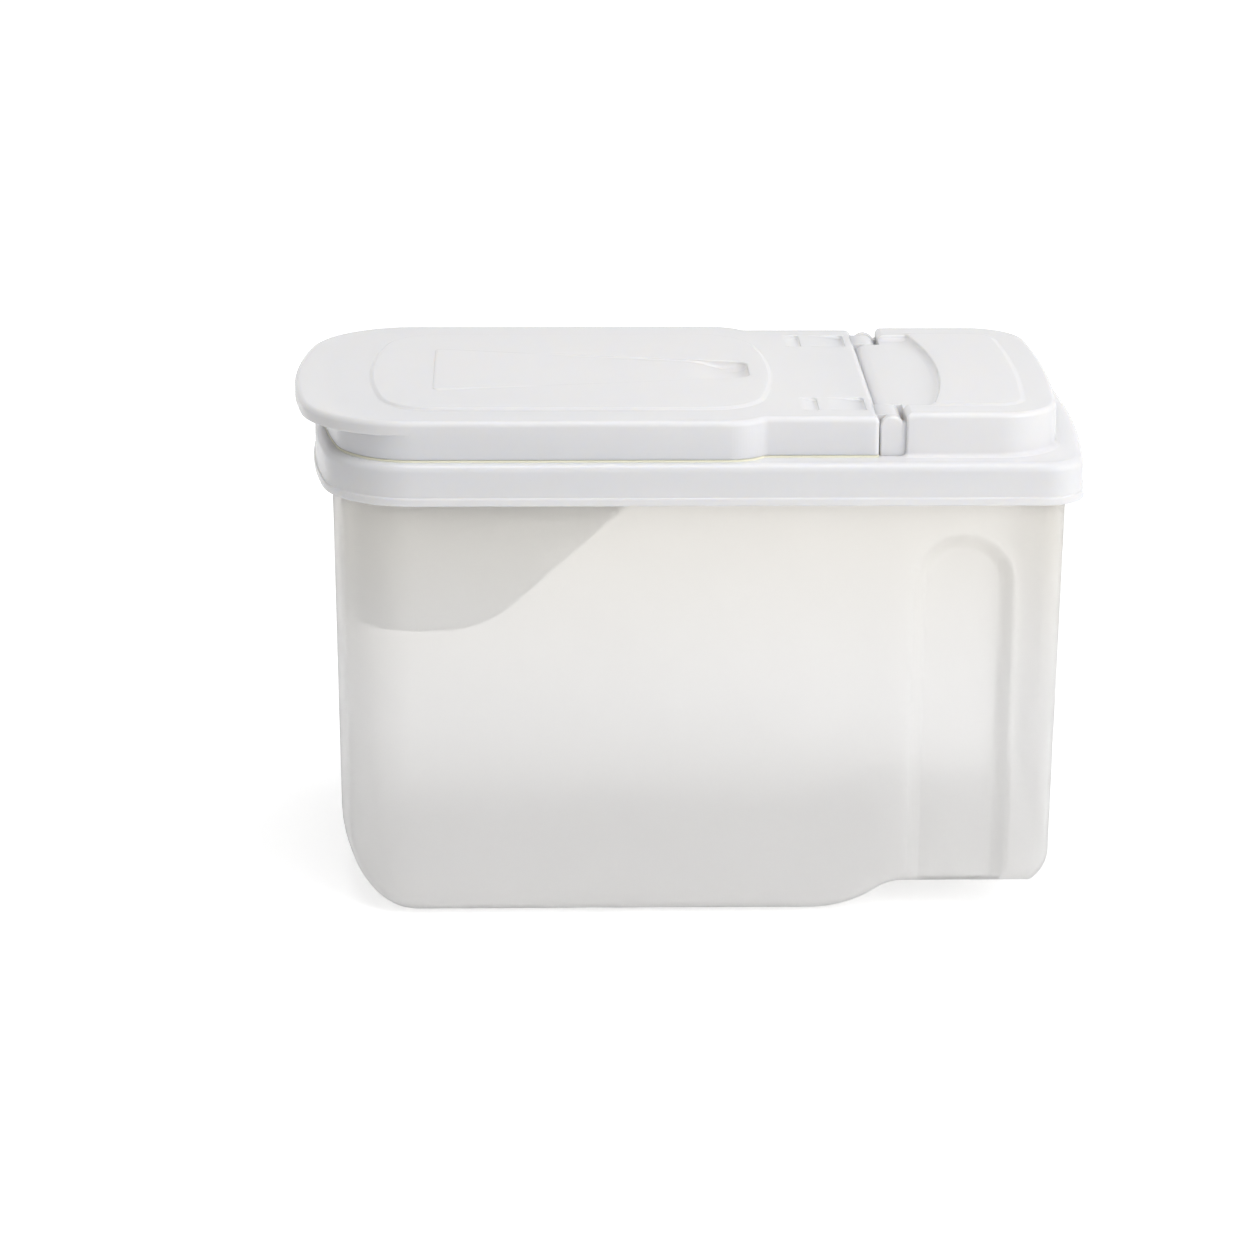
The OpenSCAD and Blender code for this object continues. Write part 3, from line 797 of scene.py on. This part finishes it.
baseLid = {
    "bandOut": 6.6,
    "beadOut": 0.74,
    "beadHigh": 3.4,
    "bandZ": 182.0,
    "ledgeZ": 199.5,
    "underZ": 197.3,
    "innerOut": 4.4,
    "edgeR": 3.6,
    "edgeSteps": (0.05, 0.2, 0.45, 0.8, 1.2, 1.7, 2.3, 3.0, 3.6),
    "plug": (2.5, 4.1, 188.3),  # how far in its two faces stand, and its lower end
    "collarGap": 6.3,
    "swingRoom": 3.4,
    "collarWall": 2.0,
    "collarZ": 206.3,
    "collarCornerR": 2.6,
    "platformX": 89.4,
    "platformEnd": (156.1, 640.0),
    "platformHalf": 79.0,
    "platformR": 25.0,
    "platformCornerR": 1.2,
    "platformZ": 217.7,
    "platformEdgeR": 2.2,
    "platformSteps": (-2.4, -1.8, -1.2, -0.7, -0.3, -0.03, 0.0, 0.05, 0.2, 0.45, 0.75, 1.1),
    "hingeEdgeR": 2.8,
    "hingeEdgeX": (91, 94),
    "footR": 2.4,
    "panelX": 76.0,
    "panelR": 12.0,
    "panelBow": 600.0,
    "panelIn": 12.5,
    "panelEdge": 3.0,
    "panelHigh": 0.59,
    "panelStop": (-0.3, 0.5),
    "dishZ": 215.5,
    "dishHalf": 62.0,
    "dishCentre": -168.2,
    "dishR": 277.0,
    "dishBehind": 8.0,
    "dishCornerR": 2.0,
    "dishShift": 0.5,
    "dishSide": (3.4, 0.6, 0.25),  # width, round edge and the round edge's share of the dish's side
    "dishSteps": (2.9, 2.3, 1.8, 1.3, 0.9, 0.5, 0.2, -0.1, -0.3, -0.45, -0.5, -0.52, -0.7, -1.1),
    "nose": (54.5, 4.5),
    "noseReach": 5.1,
    "noseInto": 12.0,
    "noseCornerR": 0.6,
    "noseEdgeR": 0.5,
    "noseSteps": (0.99, 0.95, 0.88, 0.78, 0.66, 0.52, 0.36, 0.18, 0.0),
    "pin": (2.4, 72.4),
    "pinSides": 32,
    "cheekY": (72.2, 77.6),
    "cheekR": 5.0,
    "cheekFrom": 30,  # degrees, where the round top ends beside the platform
    "cheekPoints": 21,
    "cheekFoot": 0.6,
    "cheekSink": 0.5,
    "shell": 2.2,
    "topUpright": 0.03,  # width in plan of a wall that stands upright
    "underUpright": 0.02,
    "nowhere": -1e3,  # a height below everything
}


# Platform outline drawn in by d, with a straight side beside the hinge
def platformArcs(d):
    v = baseLid
    x1, bow = v["platformEnd"]
    half = v["platformHalf"] - d
    right = bowedArcs(0, x1 - d, half, 20, 600, v["platformR"] - d, bow - d)
    r = v["platformCornerR"]
    x0, y0 = v["platformX"] + d + r, half - r
    return [right[0], right[1], (x0, y0, r, 90, 180), (x0, -y0, r, 180, 270), right[5]]


# Dish outline: a curved far side and straight ends
def dishArcs():
    v = baseLid
    cx, big, half, r = v["dishCentre"], v["dishR"], v["dishHalf"], v["dishCornerR"]
    x0 = flipLid["hinge"][0] - v["dishBehind"]
    far = math.sqrt((big - r) ** 2 - (half - r) ** 2)
    a = math.degrees(math.atan2(half - r, far))
    return [(cx, 0, big, -a, a), (cx + far, half - r, r, a, 90), (x0, half - 1, 1, 90, 180),
            (x0, -half + 1, 1, 180, 270), (cx + far, -half + r, r, 270, 360 - a)]


# The necked outline drawn in by d, with the neck's two corners rounded by r
def drawnIn(arcs, d, r):
    neckX = arcs[0][0] + arcs[0][2] - d
    neckY = abs(arcs[0][1]) + arcs[0][2] - d
    made = [(neckX - r, math.copysign(neckY - r, cy), r, a0, a1) for cx, cy, was, a0, a1 in arcs[:2]]
    for cx, cy, was, a0, a1 in arcs[2:]:
        made.append((cx, cy, was - math.copysign(d, a1 - a0), a0, a1))
    return made


# Outlines that the upper and the lower face share, by name
def baseLidPlans():
    v = baseLid
    hx = flipLid["hinge"][0]
    skirt = neckedArcs(flipLid["lipDepth"], flipLid["neckX"] - v["swingRoom"])
    inset = v["panelIn"]
    x1, bow = v["platformEnd"]
    panel = bowedArcs(v["panelX"], x1 - inset, v["platformHalf"] - inset, v["panelR"], v["panelBow"],
                      v["platformR"] - inset, bow - inset)
    half = v["nose"][0]
    nose = boxArcs(hx - v["noseReach"], hx + v["noseInto"], -half, half, v["noseCornerR"])
    return {
        "bin": Outline(bowedArcs(*container["plan"]), arcStep=1.6),
        # the neck's sharp corners leave no room for an offset, so the collar has its own rounded ones
        "collar": Outline(drawnIn(skirt, v["collarGap"], v["collarCornerR"])),
        "platform": Outline(platformArcs(0)),
        "panel": Outline(panel),
        "dish": Outline(dishArcs()),
        "nose": Outline(nose, lineStep=3.0),
        "cavity": Outline(platformArcs(v["shell"])),
    }


# The upper face: the ledge with the collar, the platform with its panel and dish, and the roll
def baseLidTop(plans, hole):
    v = baseLid
    hx, hz = flipLid["hinge"]
    noseHalf, noseR = v["nose"]
    collarZ, ledgeZ = v["collarZ"], v["ledgeZ"]
    # the collar's section as (distance, z)
    collarTable = ((-2.0, collarZ - 0.5), (-1.88, collarZ - 0.15), (-1.5, collarZ), (-0.5, collarZ),
                   (-0.12, collarZ - 0.15), (0, collarZ - 0.5), (0.03, ledgeZ + 0.8),
                   (0.25, ledgeZ + 0.25), (0.8, ledgeZ))

    # The block's own height: a hollow foot, an upright wall and a round upper edge
    def blockHeight(x, y):
        s = plans["platform"].away(x, y)
        x0, x1 = v["hingeEdgeX"]
        r = v["platformEdgeR"] + (v["hingeEdgeR"] - v["platformEdgeR"]) * ramp(-x, -x1, -x0)
        top = v["platformZ"] - roundEdge(s, r)
        rise = 1 - ramp(plans["panel"].away(x, y), -v["panelEdge"], 0)
        rise = rise * ramp(np.hypot(x - v["dishCentre"], y) - v["dishR"], *v["panelStop"])
        top = top + v["panelHigh"] * rise
        s = np.where(np.abs(s) < snap, 0.0, s)
        r = v["footR"]
        foot = ledgeZ + r - np.sqrt(np.maximum(r * r - np.clip(r - s, 0, r) ** 2, 0))
        upright = v["topUpright"]
        wall = np.where(s < upright, foot + (top - foot) * (1 - s / upright), foot)
        return np.where(s <= 0, top, np.where(s < r, wall, v["nowhere"]))

    def topHeight(x, y):
        z = ledgeZ - roundEdge(plans["bin"].away(x, y) - v["bandOut"], v["edgeR"])
        s = plans["collar"].away(x, y)
        z = np.where(s < collarTable[-1][0], np.maximum(z, fromTable(s, collarTable)), z)
        block = blockHeight(x, y)
        s = plans["dish"].away(x, y)
        sunk = v["dishZ"] + (block - v["dishZ"]) * climb(s - v["dishShift"], *v["dishSide"])
        sunk = np.minimum(block, np.maximum(sunk, v["dishZ"]))
        nearDish = (s < v["dishShift"] + v["dishSide"][1]) & (block > v["dishZ"] - 0.5)
        z = np.maximum(z, np.where(nearDish, sunk, block))
        back = np.clip((hx - x) / v["noseReach"], 0, 1)
        roll = np.minimum(hz + noseR * np.sqrt(1 - back ** 2), v["dishZ"])
        ends = np.where(x < v["platformX"], roundEdge(np.abs(y) - noseHalf, v["noseEdgeR"]), 0)
        onRoll = (plans["nose"].away(x, y) <= 0) & (x < v["platformX"] + 3)
        return np.maximum(z, np.where(onRoll, roll - ends, v["nowhere"]))

    outer = plans["bin"].ring(-v["bandOut"])
    seams = seamsIn(plans["bin"], [-v["bandOut"] + d for d in v["edgeSteps"]])
    seams += tableSeams(plans["collar"], collarTable[1:])
    seams += seamsIn(plans["platform"], v["platformSteps"])
    seams += seamsIn(Outline(platformArcs(1.25)), (0.3, 0.75, 1.0, 1.15))
    seams += seamsIn(plans["panel"], (3.0, 2.4, 1.8, 1.2, 0.6, 0.0))
    seams += seamsIn(plans["dish"], v["dishSteps"])
    seams += seamsIn(plans["nose"], (0.0, 0.03, 0.2, 0.5))
    for x in hx - v["noseReach"] * np.array(v["noseSteps"]):
        seams.append((np.array([(x, y) for y in np.linspace(-noseHalf, noseHalf, 30)]), False))
    return sheet([outer, hole], seams, (120.0, 0.0), topHeight)


# The lower face: a flat underside with the plug wall, the bore's edge and the hollow of the platform
def baseLidUnder(plans, hole):
    v = baseLid
    underZ = v["underZ"]
    plugOut, plugIn, plugZ = v["plug"]
    plugTable = ((-plugIn - 0.6, underZ), (-plugIn - 0.2, underZ - 0.3), (-plugIn - 0.02, underZ - 0.8),
                 (-plugIn, plugZ + 0.4), (-plugIn + 0.1, plugZ + 0.1), (-plugIn + 0.4, plugZ),
                 (-plugOut - 0.4, plugZ), (-plugOut - 0.1, plugZ + 0.1), (-plugOut, plugZ + 0.4),
                 (-plugOut + 0.02, underZ - 0.6), (-plugOut + 0.2, underZ - 0.2), (-plugOut + 0.6, underZ))
    boreTable = ((-2.0, underZ + 0.5), (-1.9, underZ + 0.15), (-1.6, underZ))

    def underHeight(x, y):
        z = fromTable(plans["bin"].away(x, y), plugTable)
        s = plans["collar"].away(x, y)
        z = np.where(s < boreTable[-1][0], fromTable(s, boreTable), z)
        s = plans["cavity"].away(x, y)
        roof = np.where(plans["dish"].away(x, y) < v["shell"], v["dishZ"], v["platformZ"]) - v["shell"]
        upright = v["underUpright"]
        wall = np.where(s < 0, underZ + (roof - underZ) * -s / upright, z)
        return np.where(s < -upright, roof, wall)

    seams = tableSeams(plans["bin"], plugTable) + tableSeams(plans["collar"], boreTable[1:])
    seams += seamsIn(plans["cavity"], (0, v["underUpright"], 1.0))
    seams += seamsIn(plans["dish"], (-v["shell"], -v["shell"] - v["underUpright"]))
    outer = plans["bin"].ring(-v["innerOut"] + 0.8)
    return sheet([outer, hole], seams, (-151.0, 0.0), underHeight)


# The band's rings, from the underside round its lower edge and the bead up to the ledge
def bandRings(plan):
    v = baseLid
    out, bead, inner = v["bandOut"], v["bandOut"] + v["beadOut"], v["innerOut"]
    z0, z1 = v["bandZ"], v["bandZ"] + v["beadHigh"]
    edge = [(-inner + 0.8, v["underZ"]), (-inner + 0.2, v["underZ"] - 0.2), (-inner, v["underZ"] - 0.8)]
    edge += [(-inner, z0 + 4), (-inner, z0 + 0.5), (-inner - 0.12, z0 + 0.12), (-inner - 0.5, z0)]
    edge += [(-bead + 0.55, z0), (-bead + 0.2, z0 + 0.12), (-bead + 0.04, z0 + 0.4), (-bead, z0 + 0.9)]
    edge += [(-bead, z1 - 1.0), (-bead + 0.05, z1 - 0.5), (-bead + 0.2, z1 - 0.15), (-bead + 0.45, z1)]
    edge += [(-out - 0.12, z1 + 0.1), (-out, z1 + 0.35)]
    edge += [(-out, z1 + 4), (-out, z1 + 8), (-out, v["ledgeZ"] - v["edgeR"])]
    return [withZ(plan.ring(d), z) for d, z in edge]


# Both hinge pins as closed shells, from inside the nose to the cheeks
def pinParts():
    v = baseLid
    centre = np.array(flipLid["hinge"])
    pinR, pinY = v["pin"]
    circle = arcRow(0, 0, 1, 0, 360, v["pinSides"] + 1)[:-1]
    ends = ((v["nose"][0] - 1, pinR), (pinY - 0.6, pinR), (pinY - 0.15, pinR - 0.2), (pinY, pinR - 0.6))
    return [closedLoft([atY(centre + r * circle, side * y) for y, r in ends]) for side in (-1, 1)]


# Both hinge cheeks as closed shells: round over the hinge, and with a foot that meets the platform
def cheekParts():
    v = baseLid
    hx, hz = flipLid["hinge"]
    y0, y1 = v["cheekY"]
    besideX = v["platformX"] + v["cheekFoot"]
    low = v["ledgeZ"] - v["cheekSink"]

    # Section of a cheek, drawn in by t
    def profile(t):
        r = v["cheekR"] - t
        top = arcRow(hx, hz, r, v["cheekFrom"], 180, v["cheekPoints"])
        return np.concatenate([top, [(hx - r, low), (besideX, low), (besideX, top[0, 1])]])

    ends = ((y0, 0.3), (y0 + 0.3, 0), (y1 - 1.2, 0), (y1 - 0.7, 0.12), (y1 - 0.35, 0.38), (y1, 0.9))
    return [closedLoft([atY(profile(t), side * y) for y, t in ends]) for side in (-1, 1)]


def makeBaseLid():
    v = baseLid
    plans = baseLidPlans()
    hole = plans["collar"].ring(v["collarWall"])
    top = baseLidTop(plans, hole)
    under = baseLidUnder(plans, hole)
    band = loft(bandRings(plans["bin"]))
    bore = loft([withZ(hole, z) for z in (v["underZ"] + 0.5, v["collarZ"] - 0.5)])
    piece = makePiece("baseLidPlate", [top, under, band, bore, *pinParts(), *cheekParts()], white)
    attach(piece, "lid")
    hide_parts("base_lid")


makeBaseLid()


scoop = {
    "x0": -143.9,
    "y0": -79.2,
    "y1": -33.2,
    "length": 130.0,
    "topZ": 187.0,
    "depth": 63.0,
    "slope": 42.0,
    "curveR": 48.0,
    "cornerR": 8.0,
    "wall": 1.8,
    "floorEdgeR": 5.0,
    "floorRings": 9,
    "sideRings": 40,
    "leastR": 2.0,
    "arcPoints": (14, 14, 14, 16, 18),
    "tubCorner": (-112.0, -52.5, 26.7),
    "tubBow": (150.8, 294.7),
    "hookX": (-111.9, -71.9),
    "hookIn": (-78.7, -76.7),
    "hookOut": (-83.3, -81.3),
    "hookLow": 202.6,
    "hookZ": 206.6,
    "hookThick": 2.0,
    "hookR": 1.4,
    "hookPoints": 6,
}


def makeScoop():
    v = scoop
    z0, curveR = v["topZ"] - v["depth"], v["curveR"]
    slope = math.radians(v["slope"])
    run = v["x0"] + v["length"] - v["depth"] / math.tan(slope) - curveR * math.tan(slope / 2)

    # Where the sloping side is at height z, for a wall drawn in by t
    def slopeX(z, t):
        r = curveR - t
        bendZ = z0 + curveR - r * math.cos(slope)
        down = curveR - (z - z0)
        curveX = run + math.sqrt(max(r ** 2 - min(down, r) ** 2, 0))
        bendX = run + r * math.sin(slope)
        return curveX if z < bendZ else bendX + (z - bendZ) / math.tan(slope)

    # The scoop's outline at height z, for a wall drawn in by t and an edge drawn in by d
    def ring(z, t, d):
        cx, cy, cr = v["tubCorner"]
        bx, bow = v["tubBow"]
        x1 = slopeX(z, t) - d
        inset = t + d
        r = max(v["cornerR"] - inset, v["leastR"])
        y1 = v["y1"] - inset
        bow, cr = bow - inset, cr - inset
        a0 = math.degrees(math.atan2(-cy, bx - cx))
        nearY = y1 - r
        backX = bx - math.sqrt((bow - r) ** 2 - nearY ** 2)
        a1 = math.degrees(math.asin(-nearY / (bow - r)))
        front = v["y0"] + inset
        arcs = [(x1 - r, front + r, r, 270, 360), (x1 - r, y1 - r, r, 0, 90),
                (backX, nearY, r, 90, 180 + a1), (bx, 0, bow, 180 + a1, 180 + a0),
                (cx, cy, cr, 180 + a0, 270)]
        made = [arcRow(*arc, count) for arc, count in zip(arcs, v["arcPoints"])]
        return withZ(np.concatenate(made), z)

    # Rings of one face from the floor's edge up to the mouth
    def side(t, top):
        rings = []
        soft = v["floorEdgeR"] - t
        for a in np.radians(np.linspace(90, 0, v["floorRings"])):
            z = z0 + t + soft * (1 - math.sin(a))
            rings.append(ring(z, t, soft * (1 - math.cos(a))))
        for z in np.linspace(z0 + t + soft, top, v["sideRings"])[1:]:
            rings.append(ring(z, t, 0.0))
        return rings

    outer = side(0.0, v["topZ"] - 0.5)
    inner = side(v["wall"], v["topZ"] - 0.5)
    rim = [ring(v["topZ"] - 0.12, 0.0, 0.15), ring(v["topZ"], 0.0, 0.5)]
    rim += [ring(v["topZ"], v["wall"], -0.5), ring(v["topZ"] - 0.12, v["wall"], -0.15)]
    shell = loft(outer + rim + inner[::-1])
    seed = (-125.0, -60.0)
    floors = [sheet([low[:, :2]], [], seed, lambda x, y: np.full(len(x), low[0, 2]))
              for low in (outer[0], inner[0])]
    piece = makePiece("measuringScoop", [shell, *floors, hookPart()], grey)
    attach(piece, "scoop")
    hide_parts("measuring_scoop")


# The hook as one bent strip with rounded edges: up inside the collar, over it and down outside
def hookPart():
    v = scoop
    t = v["hookThick"]
    y0, y1 = v["hookIn"]
    w0, w1 = v["hookOut"]
    low, high, r = v["hookLow"], v["hookZ"], v["hookR"]
    rootZ, topZ = v["topZ"] - 2 * t, high + t

    def bend(*arc):
        return arcRow(*arc, v["hookPoints"])

    outside = [(v["y0"], rootZ), (y1, rootZ), *bend(y1 - r, topZ - r, r, 0, 90)]
    outside += [*bend(w0 + r, topZ - r, r, 90, 180), (w0, low + 0.4), (w0 + 0.4, low)]
    outside += [(w1 - 0.4, low), (w1, low + 0.4), *bend(w1 + 0.3, high - 0.3, 0.3, 180, 90)]
    outside += [*bend(y0 - 0.3, high - 0.3, 0.3, 90, 0), (y0, v["topZ"] + 0.3), (v["y0"], v["topZ"])]
    profile = np.array(outside)
    edge = np.roll(profile, -1, 0) - np.roll(profile, 1, 0)
    normal = np.column_stack([edge[:, 1], -edge[:, 0]]) / np.hypot(*edge.T)[:, None]
    x0, x1 = v["hookX"]
    ends = ((x0, 0.3), (x0 + 0.1, 0.1), (x0 + 0.3, 0), (x1 - 0.3, 0), (x1 - 0.1, 0.1), (x1, 0.3))
    along = np.ones(len(profile))
    return closedLoft([np.column_stack([x * along, profile - d * normal]) for x, d in ends])


makeScoop()


# The seals keep their imported nodes, with a soft finish whose colour is painted paler than their own
# yellow, as light against the shade of their groove
for node in ("rim_seal", "flip_lid_seal"):
    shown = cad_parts[node]
    for slot in shown.material_slots:
        slot.material = seal
print("seals dressed")


studio = {
    "lens": 117.527,
    "sensor": 36,
    "clip": (0.05, 20),
    "camera": (-0.0709, -1.7083, 0.6282),
    "pitch": 17.14,
    "heading": 1.67,
    "roll": 0.33,
    "ambient": 0.40,
    "darkSide": 0.78,
    "darkWay": (-0.50, -0.86, -0.1),
    "darkFrom": (0.55, 0.97),
    "lamps": (  # name, place, aim, size and power
        ("keyRight", (1.0, -0.8, 0.75), (0, 0, 0.12), (0.9, 0.9), 8.8),
        ("topSoft", (0.0, -0.25, 1.4), (0, 0, 0.1), (0.8, 0.8), 6.1),
        ("frontFill", (-0.3, -2.2, 0.7), (0, 0, 0.1), (1.4, 0.9), 0.6),
    ),
    "floorZ": -0.0002,
    "floorX": 3,
    "floorY": 2.5,
    "floorRows": 24,
    "bendY": 1.2,  # behind this the floor rises as a backdrop
    "bendRise": 0.35,
    "floorColour": (0.95, 0.95, 0.95),
    "floorRoughness": 0.8,
    # painted glow of the floor for seen rays, weaker near the object as painted shade around and under it
    "paintedGlowAt": ((0.07, 0.46), (0.17, 0.52), (0.9, 0.60)),  # distance and strength
    "glowSqueeze": (0.55, 1.0, 1.0),
}


# 1 for a ray that is seen, mirrored or passed through, and 0 for one that lights a surface
def seenDirectly(tree):
    path = tree.nodes.new("ShaderNodeLightPath").outputs
    seen = mathNode(tree, "MAXIMUM", path["Is Camera Ray"], path["Is Glossy Ray"])
    return mathNode(tree, "MAXIMUM", seen.outputs[0], path["Is Transmission Ray"]).outputs[0]


# White for the camera. Mirrored and passing rays see it darker towards darkWay, and as light it is softer
def makeWorld():
    v = studio
    world = bpy.data.worlds.new("studio")
    bpy.context.scene.world = world
    world.use_nodes = True
    tree = world.node_tree
    tree.nodes.clear()
    place = tree.nodes.new("ShaderNodeTexCoord").outputs["Generated"]
    along = vectorNode(tree, "DOT_PRODUCT", {0: place, 1: v["darkWay"]}).outputs["Value"]
    shade = smoothRange(tree, along, v["darkFrom"], (1.0, v["darkSide"]))
    camera = tree.nodes.new("ShaderNodeLightPath").outputs["Is Camera Ray"]
    backdrop = mathNode(tree, "MAXIMUM", shade, camera).outputs[0]
    seen = addNode(tree, "ShaderNodeBackground", {"Color": backdrop, "Strength": 1.0})
    light = addNode(tree, "ShaderNodeBackground", {"Color": shade, "Strength": v["ambient"]})
    either = {"Fac": seenDirectly(tree), 1: light.outputs[0], 2: seen.outputs[0]}
    mix = addNode(tree, "ShaderNodeMixShader", either)
    addNode(tree, "ShaderNodeOutputWorld", {"Surface": mix.outputs[0]})


def makeLamps():
    for name, place, aim, size, power in studio["lamps"]:
        lamp = bpy.data.lights.new(name, "AREA")
        lamp.shape = "RECTANGLE"
        lamp.size, lamp.size_y = size
        lamp.energy = power
        holder = addObject(name, lamp)
        holder.location = place
        holder.rotation_mode = "QUATERNION"
        holder.rotation_quaternion = (Vector(aim) - Vector(place)).to_track_quat("-Z", "Y")
        holder.visible_camera = False


# The floor's material: pale, with painted light: a glow that only seen rays get, so it brightens the floor
# as seen, in reflections and through the bin but lights nothing. It is weaker near the object, as painted
# shade around and under it.
def floorMaterial():
    v = studio
    material, tree, shader = newMaterial("paleFloor")
    place = tree.nodes.new("ShaderNodeTexCoord").outputs["Object"]
    squeezed = vectorNode(tree, "MULTIPLY", {0: place, 1: v["glowSqueeze"]})
    far = vectorNode(tree, "LENGTH", {0: squeezed.outputs[0]})
    glow = addNode(tree, "ShaderNodeValToRGB", {"Fac": far.outputs["Value"]})
    glow.color_ramp.interpolation = "EASE"
    stops = glow.color_ramp.elements
    while len(stops) < len(v["paintedGlowAt"]):
        stops.new(0.5)
    for stop, (distance, strength) in zip(stops, v["paintedGlowAt"]):
        stop.position = distance
        stop.color = (strength, strength, strength, 1)
    shown = mathNode(tree, "MULTIPLY", glow.outputs["Color"], seenDirectly(tree))
    feed(tree, shader, {
        "Base Color": (*v["floorColour"], 1),
        "Roughness": v["floorRoughness"],
        "Emission Color": (1, 1, 1, 1),
        "Emission Strength": shown.outputs[0],
    })
    return material


def makeFloor():
    v = studio
    rows = []
    for k in np.linspace(-1, 1, v["floorRows"] + 1):
        y = v["floorY"] * k
        z = v["floorZ"] + v["bendRise"] * max(y - v["bendY"], 0) ** 2
        rows.append(np.array([(x, y, z) for x in (-v["floorX"], 0, v["floorX"])]))
    points = np.concatenate(rows)
    faces = []
    for i in range(len(rows) - 1):
        for j in (3 * i, 3 * i + 1):
            faces.append((j, j + 1, j + 4, j + 3))
    data = bpy.data.meshes.new("floorSheet")
    data.from_pydata(points.tolist(), [], faces)
    data.shade_smooth()
    data.materials.append(floorMaterial())
    floor = addObject("floorSheet", data)


def makeCamera():
    v = studio
    lens = bpy.data.cameras.new("camera")
    lens.lens = v["lens"]
    lens.sensor_width = v["sensor"]
    lens.clip_start, lens.clip_end = v["clip"]
    eye = addObject("camera", lens)
    pitch, heading = math.radians(v["pitch"]), math.radians(v["heading"])
    east, north = math.sin(heading), math.cos(heading)
    ahead = Vector((east * math.cos(pitch), north * math.cos(pitch), -math.sin(pitch)))
    side = Vector((north, -east, 0))
    above = side.cross(ahead)
    turn = Matrix((side, above, -ahead)).transposed()
    turn = turn @ Matrix.Rotation(math.radians(v["roll"]), 3, "Z")
    eye.matrix_world = Matrix.Translation(v["camera"]) @ turn.to_4x4()
    bpy.context.scene.camera = eye


bpy.context.scene.view_settings.view_transform = "Standard"
makeWorld()
makeLamps()
makeFloor()
makeCamera()
print("studio made")
